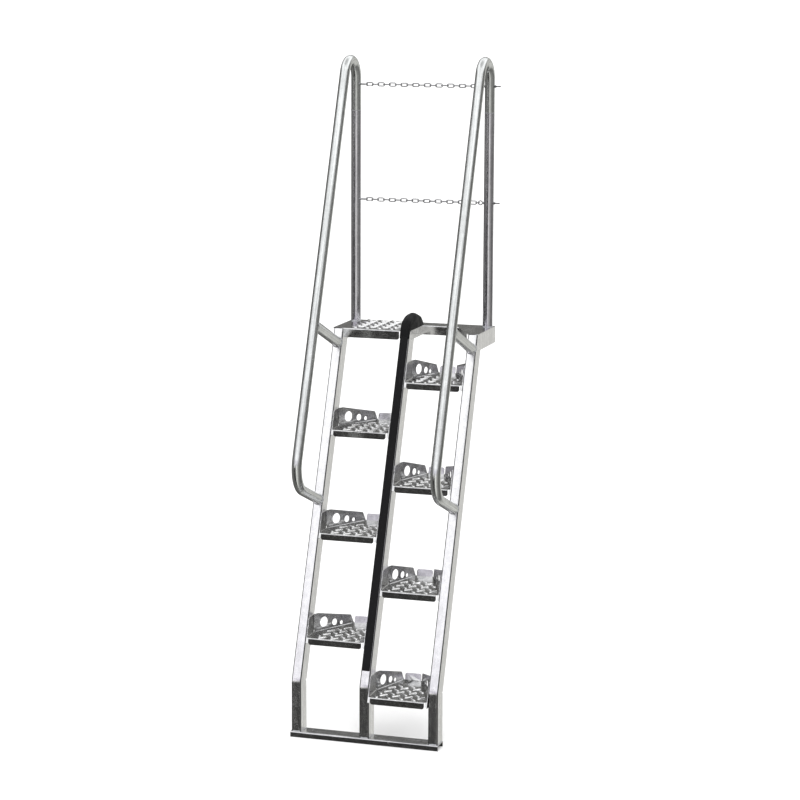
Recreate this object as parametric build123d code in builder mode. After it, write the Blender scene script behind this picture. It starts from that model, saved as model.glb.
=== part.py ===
from build123d import *
import math
import os

# Alternating-tread stair with a top platform, two hoop handrails and two safety chains.
# Millimetres. +Z up, +X to the right of a person climbing, +Y the way that person walks.
# Origin: floor level, middle of the width, under the front lip of the floor channel. The
# geometry is drawn from the front face of the stringers' vertical legs, and save() moves
# each piece back by LEG_Y.

os.makedirs("parts", exist_ok=True)

# ------------------------------------------------------------------ driving dimensions
LEG_Y = 6.0                # front face of the legs, behind the origin
PLATFORM_H = 1727.2        # top of the platform above the floor
RISERS = 8                 # equal steps from floor to platform
RISE = PLATFORM_H / RISERS
INCLINE = math.radians(68.67)         # stringer angle from the floor
WIDTH = 666.0              # over the outer stringers
STR_W = 43.6               # stringer face width
STR_D = 72.8               # stringer depth, square to its face
STR_T = 3.0                # stringer wall
KNEE_Z = 251.8             # where the vertical leg bends into the incline
KNEE_R = 34.0              # knee radius on the front face

BASE_H = 25.0              # floor channel height
BASE_T = 4.0
BASE_Y0, BASE_Y1 = -8.0, 69.0
BASE_HALF = 336.5          # half length across the stair
ANCHOR_X, ANCHOR_Y, ANCHOR_R = 244.0, 30.0, 9.5

TREAD_T = 3.0              # sheet thickness
NOSE = 9.0                 # tread nose ahead of the stringer face
TREAD_DEPTH = 304.0        # from the stringer face line to the rear edge
FLANGE_H = 30.0            # tread front flange
FLANGE_W = 242.5
PLATE_H = 80.0             # side plate height at its front
PLATE_REAR_H = 39.0        # and at its upper rear corner, before rounding
IN_BEND_Y, IN_TAPER = 112.0, 18.8     # inner plate: where it turns in, and degrees
OUT_BEND_Y, OUT_TAPER = 97.0, 29.0    # outer plate
# side plate holes: fraction of the plate length, shift along it, height, radius
PLATE_HOLES = (
    (0.235, 4.0, 35.0, 23.0),
    (0.510, 2.0, 23.0, 15.0),
    (0.715, -6.0, 13.8, 9.0),
)
UPSTAND_X, UPSTAND_W, UPSTAND_H = 110.0, 73.0, 30.0
UPSTAND_LEAN = math.radians(15)

BAR_L, BAR_W, BAR_H = 37.0, 8.0, 2.2  # raised anti-slip bars
BAR_X0, BAR_PITCH_X = 57.0, 57.0
TREAD_BAR_Y0, TREAD_BAR_PITCH_Y = 46.0, 60.0
DECK_BAR_Y0, DECK_BAR_PITCH_Y = 34.0, 56.0
BAR_REACH = 20.5 * math.sqrt(0.5) + 6  # space kept around a bar's centre on a tread
BAR_EDGE = 4.5             # further space to the tapered plates

DECK_T = 4.0
DECK_BACK = 853.6
DECK_HALF = 337.0
DECK_FLANGE = 41.0         # depth of the deck's flanges
CUT_DEPTH = 182.0          # cut-out in the right half, back from the stringer face
CUT_X = 193.0              # where its rear edge meets the slanted edge
CUT_FRONT_X = 281.5        # front end of the slanted edge
SIDE_PLATE_H = 74.5        # side plate's lower edge below the deck top
SIDE_PLATE_Y0 = 590.0
DECK_BOLT_R = 6.75
DECK_BOLT_X1, DECK_BOLT_X2 = 90.0, 262.0
DECK_BOLT_DROP = 24.0

TUBE_R = 22.25             # handrail tube
TUBE_T = 3.0
RAIL_X = 311.1
POST_Y = 815.2
RAIL_TOP = 2929.1
RAIL_OFF = 332.7           # front run to stringer face, square to the stringer
RAIL_GAP = 0.15            # tube ends stop this short of the stringer face
SEAM_Z = 2681.0            # joint between a post and its hoop
RETURN_S = 1038.5          # lower return, measured along the incline
RETURN_R = 115.0
BRACE_S = 1751.4           # brace tube, measured along the incline

GUARD_W, GUARD_T = 34.5, 9.0
GUARD_Z0 = 318.0
CAP_W = 43.0

CHAIN_Z_HI = 2797.6
CHAIN_Z_LO = 2282.3
EYEBOLT_HOLE_R = 3.3
WIRE = 4.8                 # chain wire
PITCH = 27.0
LINK_IN = 27.2             # inside length of a link
LINK_IN_W = 9.6            # inside width
LINK_X0 = 239.3            # first link, next to the eyebolt
HOOK_INDEX = 18            # the hook takes this place in the chain
EYE_X, EYE_R, EYE_WIRE = 272.8, 9.0, 5.0
EYEBOLT_END_X = 361.5
RING_WIRE = 4.2
CHAIN_GAP = 0.15           # between the ring and what it joins
STAPLE_WIRE, STAPLE_R = 6.0, 9.0

# ------------------------------------------------------------------ derived
COS_INC, SIN_INC = math.cos(INCLINE), math.sin(INCLINE)
FACE_OFF = KNEE_Z * COS_INC            # offset of the stringer face in the slanted frame
BAY_IN = STR_W / 2                     # |x| of a bay's side at the centre stringer
BAY_OUT = WIDTH / 2 - STR_W            # |x| of its side at the outer stringer
BAY = BAY_OUT - BAY_IN


def face_y(z):
    """Y of the slanted stringer face at height z."""
    return (z - KNEE_Z) / math.tan(INCLINE)


def slanted(along, off):
    """(Y, Z) of a point given along the incline and square to it, positive up and forward."""
    return (along * COS_INC - off * SIN_INC, along * SIN_INC + off * COS_INC)


DECK_FACE = face_y(PLATFORM_H)         # stringer face at deck level


def x_edges_at(builder, y, z):
    """Edges that run along X at the given Y and Z."""
    return [
        e for e in builder.edges().filter_by(Axis.X)
        if abs((e @ 0.5).Y - y) < 0.01 and abs((e @ 0.5).Z - z) < 0.01
    ]


def save(part, name):
    part = part.moved(Location((0, LEG_Y, 0)))
    part.label = name
    export_step(part, "parts/" + name + ".step")


# ------------------------------------------------------------------ base channel
def make_base_channel():
    """Floor channel, open downwards."""
    web_z = BASE_H - BASE_T
    with BuildPart() as channel:
        with BuildSketch(Plane.YZ):
            with BuildLine():
                Polyline(
                    (BASE_Y0, 0), (BASE_Y0, BASE_H), (BASE_Y1, BASE_H), (BASE_Y1, 0),
                    (BASE_Y1 - BASE_T, 0), (BASE_Y1 - BASE_T, web_z),
                    (BASE_Y0 + BASE_T, web_z), (BASE_Y0 + BASE_T, 0), close=True,
                )
            make_face()
        extrude(amount=BASE_HALF, both=True)
        inside = [
            e for e in channel.edges().filter_by(Axis.X) if abs((e @ 0.5).Z - web_z) < 0.01
        ]
        fillet(inside, 2)
        fillet(channel.edges().filter_by(Axis.X).group_by(Axis.Z)[-1], 6)
        with BuildSketch(Plane.XY.offset(BASE_H)):
            with Locations((-ANCHOR_X, ANCHOR_Y), (ANCHOR_X, ANCHOR_Y)):
                Circle(ANCHOR_R)
        extrude(amount=-BASE_T, mode=Mode.SUBTRACT)
    return channel.part


save(make_base_channel(), "base_channel")


# ------------------------------------------------------------------ stringers
def make_stringer(x_mid):
    z_top = PLATFORM_H - DECK_T
    z_over = z_top + 2                 # the inside cut runs past the top
    y_over = STR_D + 40                # and past the back
    depth_y = STR_D / SIN_INC          # horizontal depth of the slanted part
    z_rear = KNEE_Z + (STR_D - depth_y) * math.tan(INCLINE)
    inner_knee_z = KNEE_Z + 0.6
    with BuildPart() as stringer:
        with BuildSketch(Plane.YZ.offset(x_mid)) as outer:
            with BuildLine():
                Polyline(
                    (0, BASE_H), (0, KNEE_Z), (face_y(z_top), z_top),
                    (face_y(z_top) + depth_y, z_top), (STR_D, z_rear), (STR_D, BASE_H),
                    close=True,
                )
            make_face()
            fillet(outer.vertices().sort_by_distance(Vector(0, KNEE_Z, 0))[0], KNEE_R)
        extrude(amount=STR_W / 2, both=True)
        # folded front corners
        by_x = stringer.edges().group_by(Axis.X)
        front = [
            e for e in by_x[0] + by_x[-1]
            if (e @ 0.5).Y < face_y(max((e @ 0.5).Z, KNEE_Z)) + 12
            and abs((e @ 0.5).Z - BASE_H) > 1 and abs((e @ 0.5).Z - z_top) > 1
        ]
        fillet(front, 5)
        # open back: the inside is cut away, leaving the web and two walls
        with BuildSketch(Plane.YZ.offset(x_mid)) as inner:
            with BuildLine():
                Polyline(
                    (STR_T, BASE_H - 1), (STR_T, inner_knee_z),
                    (face_y(z_over) + STR_T / SIN_INC, z_over),
                    (face_y(z_over) + depth_y + 40, z_over),
                    (y_over, z_rear), (y_over, BASE_H - 1), close=True,
                )
            make_face()
            knee = inner.vertices().sort_by_distance(Vector(STR_T, inner_knee_z, 0))[0]
            fillet(knee, KNEE_R - STR_T)
        extrude(amount=STR_W / 2 - STR_T, both=True, mode=Mode.SUBTRACT)
        # relief notch in both walls where the rear edges meet at the knee
        with BuildSketch(Plane.YZ.offset(x_mid)):
            with BuildLine():
                Polyline(
                    (STR_D + 5, z_rear + 10), (STR_D - 11, z_rear + 1.2),
                    (STR_D - 11, z_rear - 1.2), (STR_D + 5, z_rear - 3), close=True,
                )
            make_face()
        extrude(amount=STR_W, both=True, mode=Mode.SUBTRACT)
    return stringer.part


for name, sign in (("left", -1), ("center", 0), ("right", 1)):
    save(make_stringer(sign * (WIDTH / 2 - STR_W / 2)), name + "_stringer")


# ------------------------------------------------------------------ treads
def taper_x(y, bend_y, degrees):
    """How far a side plate's inside face stands in from the bay's side at y."""
    return TREAD_T + max(0.0, y - bend_y) * math.tan(math.radians(degrees))


def make_tread(side, step):
    """One folded tread. side is +1 for a right tread and -1 for a left one.
    Local x runs from the centre stringer outward, local y from the stringer face line back."""
    top = step * RISE
    y0 = face_y(top)
    nose_y = y0 - NOSE
    rear_y = y0 + TREAD_DEPTH

    def bay_x(x):
        return side * (BAY_IN + x)

    in_end = taper_x(TREAD_DEPTH, IN_BEND_Y, IN_TAPER)
    out_end = BAY - taper_x(TREAD_DEPTH, OUT_BEND_Y, OUT_TAPER)
    flange_x = (BAY - FLANGE_W) / 2
    with BuildPart() as tread:
        # walking surface
        with BuildSketch(Plane.XY.offset(top)):
            with BuildLine():
                Polyline(
                    (bay_x(flange_x), nose_y), (bay_x(BAY - flange_x), nose_y),
                    (bay_x(BAY - flange_x), y0 + 3), (bay_x(BAY - TREAD_T), y0 + 14),
                    (bay_x(BAY - TREAD_T), y0 + OUT_BEND_Y), (bay_x(out_end), rear_y),
                    (bay_x(in_end), rear_y), (bay_x(TREAD_T), y0 + IN_BEND_Y),
                    (bay_x(TREAD_T), y0 + 14), (bay_x(flange_x), y0 + 3), close=True,
                )
            make_face()
        extrude(amount=-TREAD_T)
        # front flange with rounded lower corners
        with BuildSketch(Plane.XZ.offset(-nose_y)) as flange:
            with Locations((bay_x(BAY / 2), top - FLANGE_H / 2)):
                Rectangle(FLANGE_W, FLANGE_H)
            fillet(flange.vertices().group_by(Axis.Y)[0], 10)
        extrude(amount=-TREAD_T)
        fillet(x_edges_at(tread, nose_y, top), 5)
        # side plates, folded up and turned inward towards the rear;
        # inward is the local x direction into the bay
        for x_at, bend_y, degrees, inward in (
            (0.0, IN_BEND_Y, IN_TAPER, 1), (BAY, OUT_BEND_Y, OUT_TAPER, -1),
        ):
            angle = math.radians(degrees)
            thickness = TREAD_T * inward * side
            # tab against the stringer: its front edge follows the incline
            low, high = top - FLANGE_H + 2, top + PLATE_H
            with BuildSketch(Plane.YZ.offset(bay_x(x_at))) as tab:
                with BuildLine():
                    Polyline(
                        (face_y(low) + 3.5, low), (face_y(high) + 3.5, high),
                        (y0 + bend_y, high), (y0 + bend_y, top - 8),
                        (y0 + bend_y - 34, low), close=True,
                    )
                make_face()
                fillet(tab.vertices().group_by(Axis.Y)[0].sort_by(Axis.X)[0], 6)
            extrude(amount=thickness)
            # return lip on the tab's front edge, below the walking surface
            lip_top = top - 2
            with BuildSketch(Plane.YZ.offset(bay_x(x_at))):
                with BuildLine():
                    Polyline(
                        (face_y(low) + 3.5, low + 4), (face_y(lip_top) + 3.5, lip_top),
                        (face_y(lip_top) + 6.5, lip_top), (face_y(low) + 6.5, low + 4),
                        close=True,
                    )
                make_face()
            extrude(amount=10.0 * inward * side)
            # tapered plate
            length = (TREAD_DEPTH - bend_y) / math.cos(angle)
            plate_plane = Plane(
                origin=(bay_x(x_at), y0 + bend_y, top),
                x_dir=(side * inward * math.sin(angle), math.cos(angle), 0),
                z_dir=(math.cos(angle), -side * inward * math.sin(angle), 0),
            )
            with BuildSketch(plate_plane) as plate:
                with BuildLine():
                    Polyline(
                        (0, -TREAD_T), (0, PLATE_H), (28, PLATE_H),
                        (length - 16, PLATE_REAR_H), (length, 2), (length, -TREAD_T),
                        close=True,
                    )
                make_face()
                corner = Vector(length - 16, PLATE_REAR_H, 0)
                fillet(plate.vertices().sort_by_distance(corner)[0], 9)
                for fraction, shift, height, radius in PLATE_HOLES:
                    with Locations((fraction * length + shift, height)):
                        Circle(radius, mode=Mode.SUBTRACT)
            extrude(amount=thickness)
            # relief slit where the surface, the plate and the tab meet
            with BuildSketch(Plane.XY.offset(top + 9)):
                with Locations((bay_x(x_at + inward * 3.5), y0 + bend_y - 1)):
                    Rectangle(10, 8)
            extrude(amount=-16, mode=Mode.SUBTRACT)
        # rear upstand between the two plates, leaning back
        back = Plane(
            origin=(bay_x(UPSTAND_X), rear_y, top - TREAD_T), x_dir=(1, 0, 0),
            z_dir=(0, -math.cos(UPSTAND_LEAN), math.sin(UPSTAND_LEAN)),
        )
        with BuildSketch(back) as upstand:
            with Locations((0, (UPSTAND_H + TREAD_T) / 2)):
                Rectangle(UPSTAND_W, UPSTAND_H + TREAD_T)
            fillet(upstand.vertices().group_by(Axis.Y)[-1], 9)
        extrude(amount=TREAD_T)
        # raised anti-slip bars in a basket-weave: two interleaved grids, each kept
        # clear of the tapered plates
        with BuildSketch(Plane.XY.offset(top)):
            for i in range(5):
                for j in range(-1, 5):
                    for half in (0, 1):
                        x = BAR_X0 + BAR_PITCH_X * (i - half * 0.5)
                        y = TREAD_BAR_Y0 + TREAD_BAR_PITCH_Y * (j + half * 0.5)
                        y_far = y + BAR_REACH
                        clear = BAR_EDGE + BAR_REACH
                        x_min = taper_x(y_far, IN_BEND_Y, IN_TAPER) + clear
                        x_max = BAY - taper_x(y_far, OUT_BEND_Y, OUT_TAPER) - clear
                        if y < 15 or y_far > 246 or x < x_min or x > x_max:
                            continue
                        with Locations((bay_x(x), y0 + y)):
                            SlotOverall(BAR_L, BAR_W, rotation=(45 if half == 0 else -45) * side)
        extrude(amount=BAR_H)
    return tread.part


for n in range(1, RISERS):
    save(make_tread(1 if n % 2 else -1, n), "tread_%d" % n)


# ------------------------------------------------------------------ platform deck
def make_platform_deck():
    """Deck whose left half ends in a nose as the top step, with a cut-out at the right."""
    nose_y = DECK_FACE - NOSE
    nose_x0, nose_x1 = -BAY_OUT + 2, -BAY_IN - 5.6
    cut_y = DECK_FACE + CUT_DEPTH
    cut_x0 = BAY_IN + 3
    cut_front_y = DECK_FACE - 3
    flange_mid_z = PLATFORM_H - DECK_FLANGE / 2
    with BuildPart() as deck:
        with BuildSketch(Plane.XY.offset(PLATFORM_H)):
            with BuildLine():
                Polyline(
                    (-DECK_HALF, DECK_FACE), (nose_x0, DECK_FACE), (nose_x0, nose_y),
                    (nose_x1, nose_y), (nose_x1, DECK_FACE), (cut_x0, DECK_FACE),
                    (cut_x0, cut_y), (CUT_X, cut_y), (CUT_FRONT_X, cut_front_y),
                    (BAY_OUT, DECK_FACE), (DECK_HALF, DECK_FACE), (DECK_HALF, DECK_BACK),
                    (-DECK_HALF, DECK_BACK), close=True,
                )
            make_face()
        extrude(amount=-DECK_T)
        # nose flange, its lower corner rounded beside the centre stringer
        with BuildSketch(Plane.XZ.offset(-nose_y)) as nose_flange:
            with Locations(((nose_x0 + nose_x1) / 2, flange_mid_z)):
                Rectangle(nose_x1 - nose_x0, DECK_FLANGE)
            fillet(nose_flange.vertices().group_by(Axis.Y)[0].sort_by(Axis.X)[-1], 10)
        extrude(amount=-DECK_T)
        fillet(x_edges_at(deck, nose_y, PLATFORM_H), 5)
        # flange along the rear edge of the cut-out
        with BuildSketch(Plane.XZ.offset(-cut_y)):
            with Locations(((cut_x0 + CUT_X) / 2, flange_mid_z)):
                Rectangle(CUT_X - cut_x0, DECK_FLANGE)
        extrude(amount=-DECK_T)
        fillet(x_edges_at(deck, cut_y, PLATFORM_H), 4)
        # flange beside the centre stringer
        y_start, y_end = DECK_FACE + 14, cut_y + 4
        with BuildSketch(Plane.YZ.offset(BAY_IN)):
            with Locations(((y_start + y_end) / 2, flange_mid_z)):
                Rectangle(y_end - y_start, DECK_FLANGE)
        extrude(amount=3)
        # flange along the slanted edge of the cut-out
        run_x, run_y = CUT_FRONT_X - CUT_X, cut_front_y - cut_y
        run = math.hypot(run_x, run_y)
        unit_x, unit_y = run_x / run, run_y / run
        end_x, end_y = CUT_X + unit_x * (run - 4), cut_y + unit_y * (run - 4)
        with BuildSketch(Plane.XY.offset(PLATFORM_H)):
            with BuildLine():
                Polyline(
                    (CUT_X, cut_y), (end_x, end_y),
                    (end_x - unit_y * DECK_T, end_y + unit_x * DECK_T),
                    (CUT_X - unit_y * DECK_T, cut_y + unit_x * DECK_T),
                    (CUT_X, cut_y + DECK_T), close=True,
                )
            make_face()
        extrude(amount=-DECK_FLANGE)
        # rear mounting flange
        with BuildSketch(Plane.XZ.offset(-DECK_BACK)):
            with Locations((0, flange_mid_z)):
                Rectangle(WIDTH - 1, DECK_FLANGE)
        extrude(amount=DECK_T)
        with BuildSketch(Plane.XZ.offset(-DECK_BACK)):
            with Locations(*[(x, PLATFORM_H - DECK_BOLT_DROP) for x in
                             (-DECK_BOLT_X2, -DECK_BOLT_X1, DECK_BOLT_X1, DECK_BOLT_X2)]):
                Circle(DECK_BOLT_R)
        extrude(amount=DECK_T + 1, mode=Mode.SUBTRACT)
        fillet(x_edges_at(deck, DECK_BACK, PLATFORM_H), 4)
        # raised anti-slip bars on the top step
        with BuildSketch(Plane.XY.offset(PLATFORM_H)):
            for i in range(5):
                for j in range(5):
                    for half in (0, 1):
                        x = BAR_X0 + BAR_PITCH_X * (i - half * 0.5)
                        y = DECK_BAR_Y0 + DECK_BAR_PITCH_Y * (j + half * 0.5)
                        if x > BAY - 22 or x < 22 or y > 262:
                            continue
                        with Locations((-(BAY_IN + x), DECK_FACE + y)):
                            SlotOverall(BAR_L, BAR_W, rotation=-45 if half == 0 else 45)
        extrude(amount=BAR_H)
    return deck.part


def make_side_plate(side):
    """Plate under the deck's edge, on the outside of the outer stringer line."""
    z_top, z_low = PLATFORM_H - DECK_T, PLATFORM_H - SIDE_PLATE_H
    with BuildPart() as side_plate:
        with BuildSketch(Plane.YZ.offset(side * WIDTH / 2)) as outline:
            with BuildLine():
                Polyline(
                    (SIDE_PLATE_Y0, z_top), (DECK_BACK, z_top),
                    (DECK_BACK, z_low), (SIDE_PLATE_Y0 + 6, z_low), close=True,
                )
            make_face()
            fillet(outline.vertices().group_by(Axis.Y)[0], 3)
        extrude(amount=side * (DECK_HALF - WIDTH / 2))
    return side_plate.part


save(make_platform_deck(), "platform_deck")
save(make_side_plate(-1), "left_side_plate")
save(make_side_plate(1), "right_side_plate")

# ------------------------------------------------------------------ centre guard
# top of the cap, front to back: Y behind the stringer face, Z above the deck
CAP_CURVE = (
    (-19, -26), (-13, 8), (3, 37), (38, 56), (92, 65), (148, 56), (190, 37), (208, 12), (210, 0),
)


def make_center_guard():
    z_low, z_high = GUARD_Z0, PLATFORM_H + 4
    out_y, out_z = -GUARD_T * SIN_INC, GUARD_T * COS_INC
    cap_points = [(DECK_FACE + y, PLATFORM_H + z) for y, z in CAP_CURVE]
    with BuildPart() as guard:
        # strip down the face of the centre stringer
        with BuildSketch(Plane.YZ):
            with BuildLine():
                Polyline(
                    (face_y(z_low), z_low), (face_y(z_high), z_high),
                    (face_y(z_high) + out_y, z_high + out_z),
                    (face_y(z_low) + out_y, z_low + out_z), close=True,
                )
            make_face()
        extrude(amount=GUARD_W / 2, both=True)
        # rounded cap arching back over the platform
        with BuildSketch(Plane.YZ):
            with BuildLine():
                Spline(*cap_points)
                Polyline(
                    cap_points[-1], (DECK_FACE, PLATFORM_H),
                    (face_y(PLATFORM_H - 34), PLATFORM_H - 34), cap_points[0],
                )
            make_face()
        extrude(amount=CAP_W / 2, both=True)
    return guard.part


save(make_center_guard(), "center_guard")

# ------------------------------------------------------------------ handrails
RUN_OFF = FACE_OFF + RAIL_OFF          # front run in the slanted frame
END_OFF = FACE_OFF + RAIL_GAP          # tube ends at the stringer face
# top bend: tangent to the post and the front run, its tube touching RAIL_TOP
BEND_R = (
    (RUN_OFF + POST_Y * SIN_INC - (RAIL_TOP - TUBE_R) * COS_INC) / (SIN_INC - COS_INC + 1)
)
BEND_Z = RAIL_TOP - TUBE_R - BEND_R
BEND_Y = POST_Y - BEND_R


def make_hoop(x_mid):
    """Up from the seam, over the top bend, down the front run and back to the stringer."""
    turn = 90 + math.degrees(INCLINE)
    with BuildPart() as hoop:
        with BuildLine(Plane.YZ.offset(x_mid)) as path:
            Line((POST_Y, SEAM_Z), (POST_Y, BEND_Z))
            CenterArc((BEND_Y, BEND_Z), BEND_R, 0, turn)
            Line((BEND_Y - BEND_R * SIN_INC, BEND_Z + BEND_R * COS_INC),
                 slanted(RETURN_S + RETURN_R, RUN_OFF))
            CenterArc(slanted(RETURN_S + RETURN_R, RUN_OFF - RETURN_R), RETURN_R, turn, 90)
            Line(slanted(RETURN_S, RUN_OFF - RETURN_R), slanted(RETURN_S, END_OFF))
        with BuildSketch(Plane(origin=(x_mid, POST_Y, SEAM_Z), x_dir=(1, 0, 0), z_dir=(0, 0, 1))):
            Circle(TUBE_R)
            Circle(TUBE_R - TUBE_T, mode=Mode.SUBTRACT)
        sweep(path=path.wires()[0])
        if x_mid > 0:
            # cross hole for the upper chain's eyebolt
            with BuildSketch(Plane.YZ.offset(x_mid)):
                with Locations((POST_Y, CHAIN_Z_HI)):
                    Circle(EYEBOLT_HOLE_R)
            extrude(amount=TUBE_R + 1, both=True, mode=Mode.SUBTRACT)
    return hoop.part


def make_post(x_mid):
    with BuildPart() as post:
        with BuildSketch(Plane.XY.offset(PLATFORM_H)):
            with Locations((x_mid, POST_Y)):
                Circle(TUBE_R)
                Circle(TUBE_R - TUBE_T, mode=Mode.SUBTRACT)
        extrude(amount=SEAM_Z - PLATFORM_H)
        if x_mid > 0:
            # cross hole for the lower chain's eyebolt
            with BuildSketch(Plane.YZ.offset(x_mid)):
                with Locations((POST_Y, CHAIN_Z_LO)):
                    Circle(EYEBOLT_HOLE_R)
            extrude(amount=TUBE_R + 1, both=True, mode=Mode.SUBTRACT)
    return post.part


def make_brace(x_mid):
    """Tube square to the stringer, from its face to the hoop's front run."""
    saddle_half = 60.0
    foot = (x_mid, *slanted(BRACE_S, END_OFF))
    saddle = (x_mid, *slanted(BRACE_S - saddle_half, RUN_OFF))
    with BuildPart() as brace:
        with BuildSketch(Plane(origin=foot, x_dir=(1, 0, 0), z_dir=(0, -SIN_INC, COS_INC))):
            Circle(TUBE_R)
            Circle(TUBE_R - TUBE_T, mode=Mode.SUBTRACT)
        extrude(amount=RAIL_OFF - RAIL_GAP)
        # saddle cut to the hoop's front run
        with BuildSketch(Plane(origin=saddle, x_dir=(1, 0, 0), z_dir=(0, COS_INC, SIN_INC))):
            Circle(TUBE_R + 0.1)
        extrude(amount=2 * saddle_half, mode=Mode.SUBTRACT)
    return brace.part


for name, rail_x in (("left", -RAIL_X), ("right", RAIL_X)):
    save(make_hoop(rail_x), name + "_handrail_hoop")
    save(make_post(rail_x), name + "_handrail_post")
    save(make_brace(rail_x), name + "_brace_tube")

# ------------------------------------------------------------------ chain hardware
POST_IN = RAIL_X - TUBE_R              # inner surface of a post
CROWN_R = LINK_IN_W / 2 + WIRE / 2     # centre-line radius of a link's end
LEG = LINK_IN / 2 + WIRE / 2 - CROWN_R  # half length of a link's straight side


def make_link():
    """One welded link, lying along X in the X-Z plane, about the origin."""
    with BuildPart() as link:
        with BuildSketch(Plane.YZ.offset(-LEG)):
            with Locations((0, CROWN_R), (0, -CROWN_R)):
                Circle(WIRE / 2)
        extrude(amount=2 * LEG)
        for end in (1, -1):
            with BuildSketch(Plane.YZ.offset(end * LEG)):
                with Locations((0, end * CROWN_R)):
                    Circle(WIRE / 2)
            revolve(axis=Axis((end * LEG, 0, 0), (0, 1, 0)), revolution_arc=180)
    return link.part


LINK = make_link()


def link_x(index):
    """Centre of a link, counted from the eyebolt towards the left post."""
    return LINK_X0 - PITCH * index


HOOK_X = link_x(HOOK_INDEX)
PIVOT_X = HOOK_X + LEG + 0.4           # gate pivot


def make_run(z, indices, ring=False):
    """A run of links at height z. Even links stand in the X-Z plane, odd ones lie flat."""
    with BuildPart() as run:
        with Locations(*[Location((link_x(i), POST_Y, z), (90 * (i % 2), 0, 0))
                         for i in indices]):
            add(LINK)
        if ring:
            # round connecting ring, lying flat between the first link and the eyebolt
            left = LINK_X0 + LEG + CROWN_R - WIRE / 2 - RING_WIRE / 2 - CHAIN_GAP
            right = EYE_X - EYE_R + EYE_WIRE / 2 + RING_WIRE / 2 + CHAIN_GAP
            with BuildSketch(Plane.XZ.offset(-POST_Y)):
                with Locations((right, z)):
                    Circle(RING_WIRE / 2)
            revolve(axis=Axis(((left + right) / 2, POST_Y, z), (0, 0, 1)), revolution_arc=360)
    return run.part


def make_hook(z):
    """Snap hook body: a link shape with a gap in its lower side for the gate."""
    low_z = z - CROWN_R
    gap_x0, gap_x1 = HOOK_X - 4.8, PIVOT_X + 2.6
    cheek_t = 1.2
    with BuildPart() as hook:
        with Locations((HOOK_X, POST_Y, z)):
            add(LINK)
        # gate opening and the slot of the fork
        with BuildSketch(Plane.XZ.offset(-POST_Y)):
            with BuildLine():
                Polyline((gap_x0, low_z - 4), (gap_x0, low_z + 4), (gap_x1, low_z + 4),
                         (gap_x1, low_z - 4), close=True)
            make_face()
        extrude(amount=4, both=True, mode=Mode.SUBTRACT)
        # fork cheeks
        for y in (POST_Y + 1.5, POST_Y - 1.5 - cheek_t):
            with BuildSketch(Plane.XZ.offset(-y)):
                with Locations((PIVOT_X, low_z)):
                    Circle(2.5)
                with Locations((PIVOT_X + 2.3, low_z)):
                    Rectangle(4.6, 4.0)
            extrude(amount=-cheek_t)
        # rivet
        with BuildSketch(Plane.XZ.offset(-(POST_Y - 2.9))):
            with Locations((PIVOT_X, low_z)):
                Circle(1.0)
        extrude(amount=-5.8)
    return hook.part


def make_gate(z):
    """Hook gate: a round bar with a flat, bored knuckle on the rivet."""
    low_z = z - CROWN_R
    tip_x = HOOK_X - 4.5
    knuckle_t = 2.7
    knuckle_y = POST_Y - knuckle_t / 2
    with BuildPart() as gate:
        with BuildSketch(Plane.YZ.offset(tip_x)):
            with Locations((POST_Y, low_z)):
                Circle(1.7)
        extrude(amount=PIVOT_X - 4.2 - tip_x)
        with BuildSketch(Plane.XZ.offset(-knuckle_y)):
            with Locations((PIVOT_X, low_z)):
                Circle(2.0)
            with Locations((PIVOT_X - 2.8, low_z)):
                Rectangle(5.6, 3.0)
        extrude(amount=-knuckle_t)
        with BuildSketch(Plane.XZ.offset(-knuckle_y)):
            with Locations((PIVOT_X, low_z)):
                Circle(1.06)
        extrude(amount=-knuckle_t, mode=Mode.SUBTRACT)
    return gate.part


def make_staple(z):
    """Fixed eye on the left post: a bent rod lying flat."""
    tip_x = HOOK_X - LEG - CROWN_R + WIRE / 2 + STAPLE_WIRE / 2 + 0.2
    bend_x = tip_x - STAPLE_R
    leg_x = -POST_IN + 2.0
    near_y, far_y = POST_Y - STAPLE_R, POST_Y + STAPLE_R
    with BuildPart() as staple:
        with BuildLine(Plane.XY.offset(z)) as path:
            Line((leg_x, near_y), (bend_x, near_y))
            CenterArc((bend_x, POST_Y), STAPLE_R, -90, 180)
            Line((bend_x, far_y), (leg_x, far_y))
        with BuildSketch(Plane(origin=(leg_x, near_y, z), x_dir=(0, 1, 0), z_dir=(1, 0, 0))):
            Circle(STAPLE_WIRE / 2)
        sweep(path=path.wires()[0])
        # legs run on to the tube's surface
        with BuildSketch(Plane.YZ.offset(leg_x)):
            with Locations((near_y, z), (far_y, z)):
                Circle(STAPLE_WIRE / 2)
        extrude(amount=-10)
        with BuildSketch(Plane.XY.offset(z - 30)):
            with Locations((-RAIL_X, POST_Y)):
                Circle(TUBE_R + 0.05)
        extrude(amount=60, mode=Mode.SUBTRACT)
    return staple.part


def make_eyebolt(z):
    shank_x = EYE_X + EYE_R - 1.2      # starts inside the eye's wire
    with BuildPart() as eyebolt:
        with BuildSketch(Plane.YZ.offset(EYE_X)):
            with Locations((POST_Y, z + EYE_R)):
                Circle(EYE_WIRE / 2)
        revolve(axis=Axis((EYE_X, POST_Y, z), (0, 1, 0)), revolution_arc=360)
        # shank through the post
        with BuildSketch(Plane.YZ.offset(shank_x)):
            with Locations((POST_Y, z)):
                Circle(3.0)
        extrude(amount=EYEBOLT_END_X - shank_x)
        # shoulder against the post
        with BuildSketch(Plane.YZ.offset(POST_IN - 3.6)):
            with Locations((POST_Y, z)):
                Circle(5.5)
        extrude(amount=3.5)
        chamfer(eyebolt.edges().filter_by(GeomType.CIRCLE).group_by(Axis.X)[-1], 0.8)
    return eyebolt.part


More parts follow.
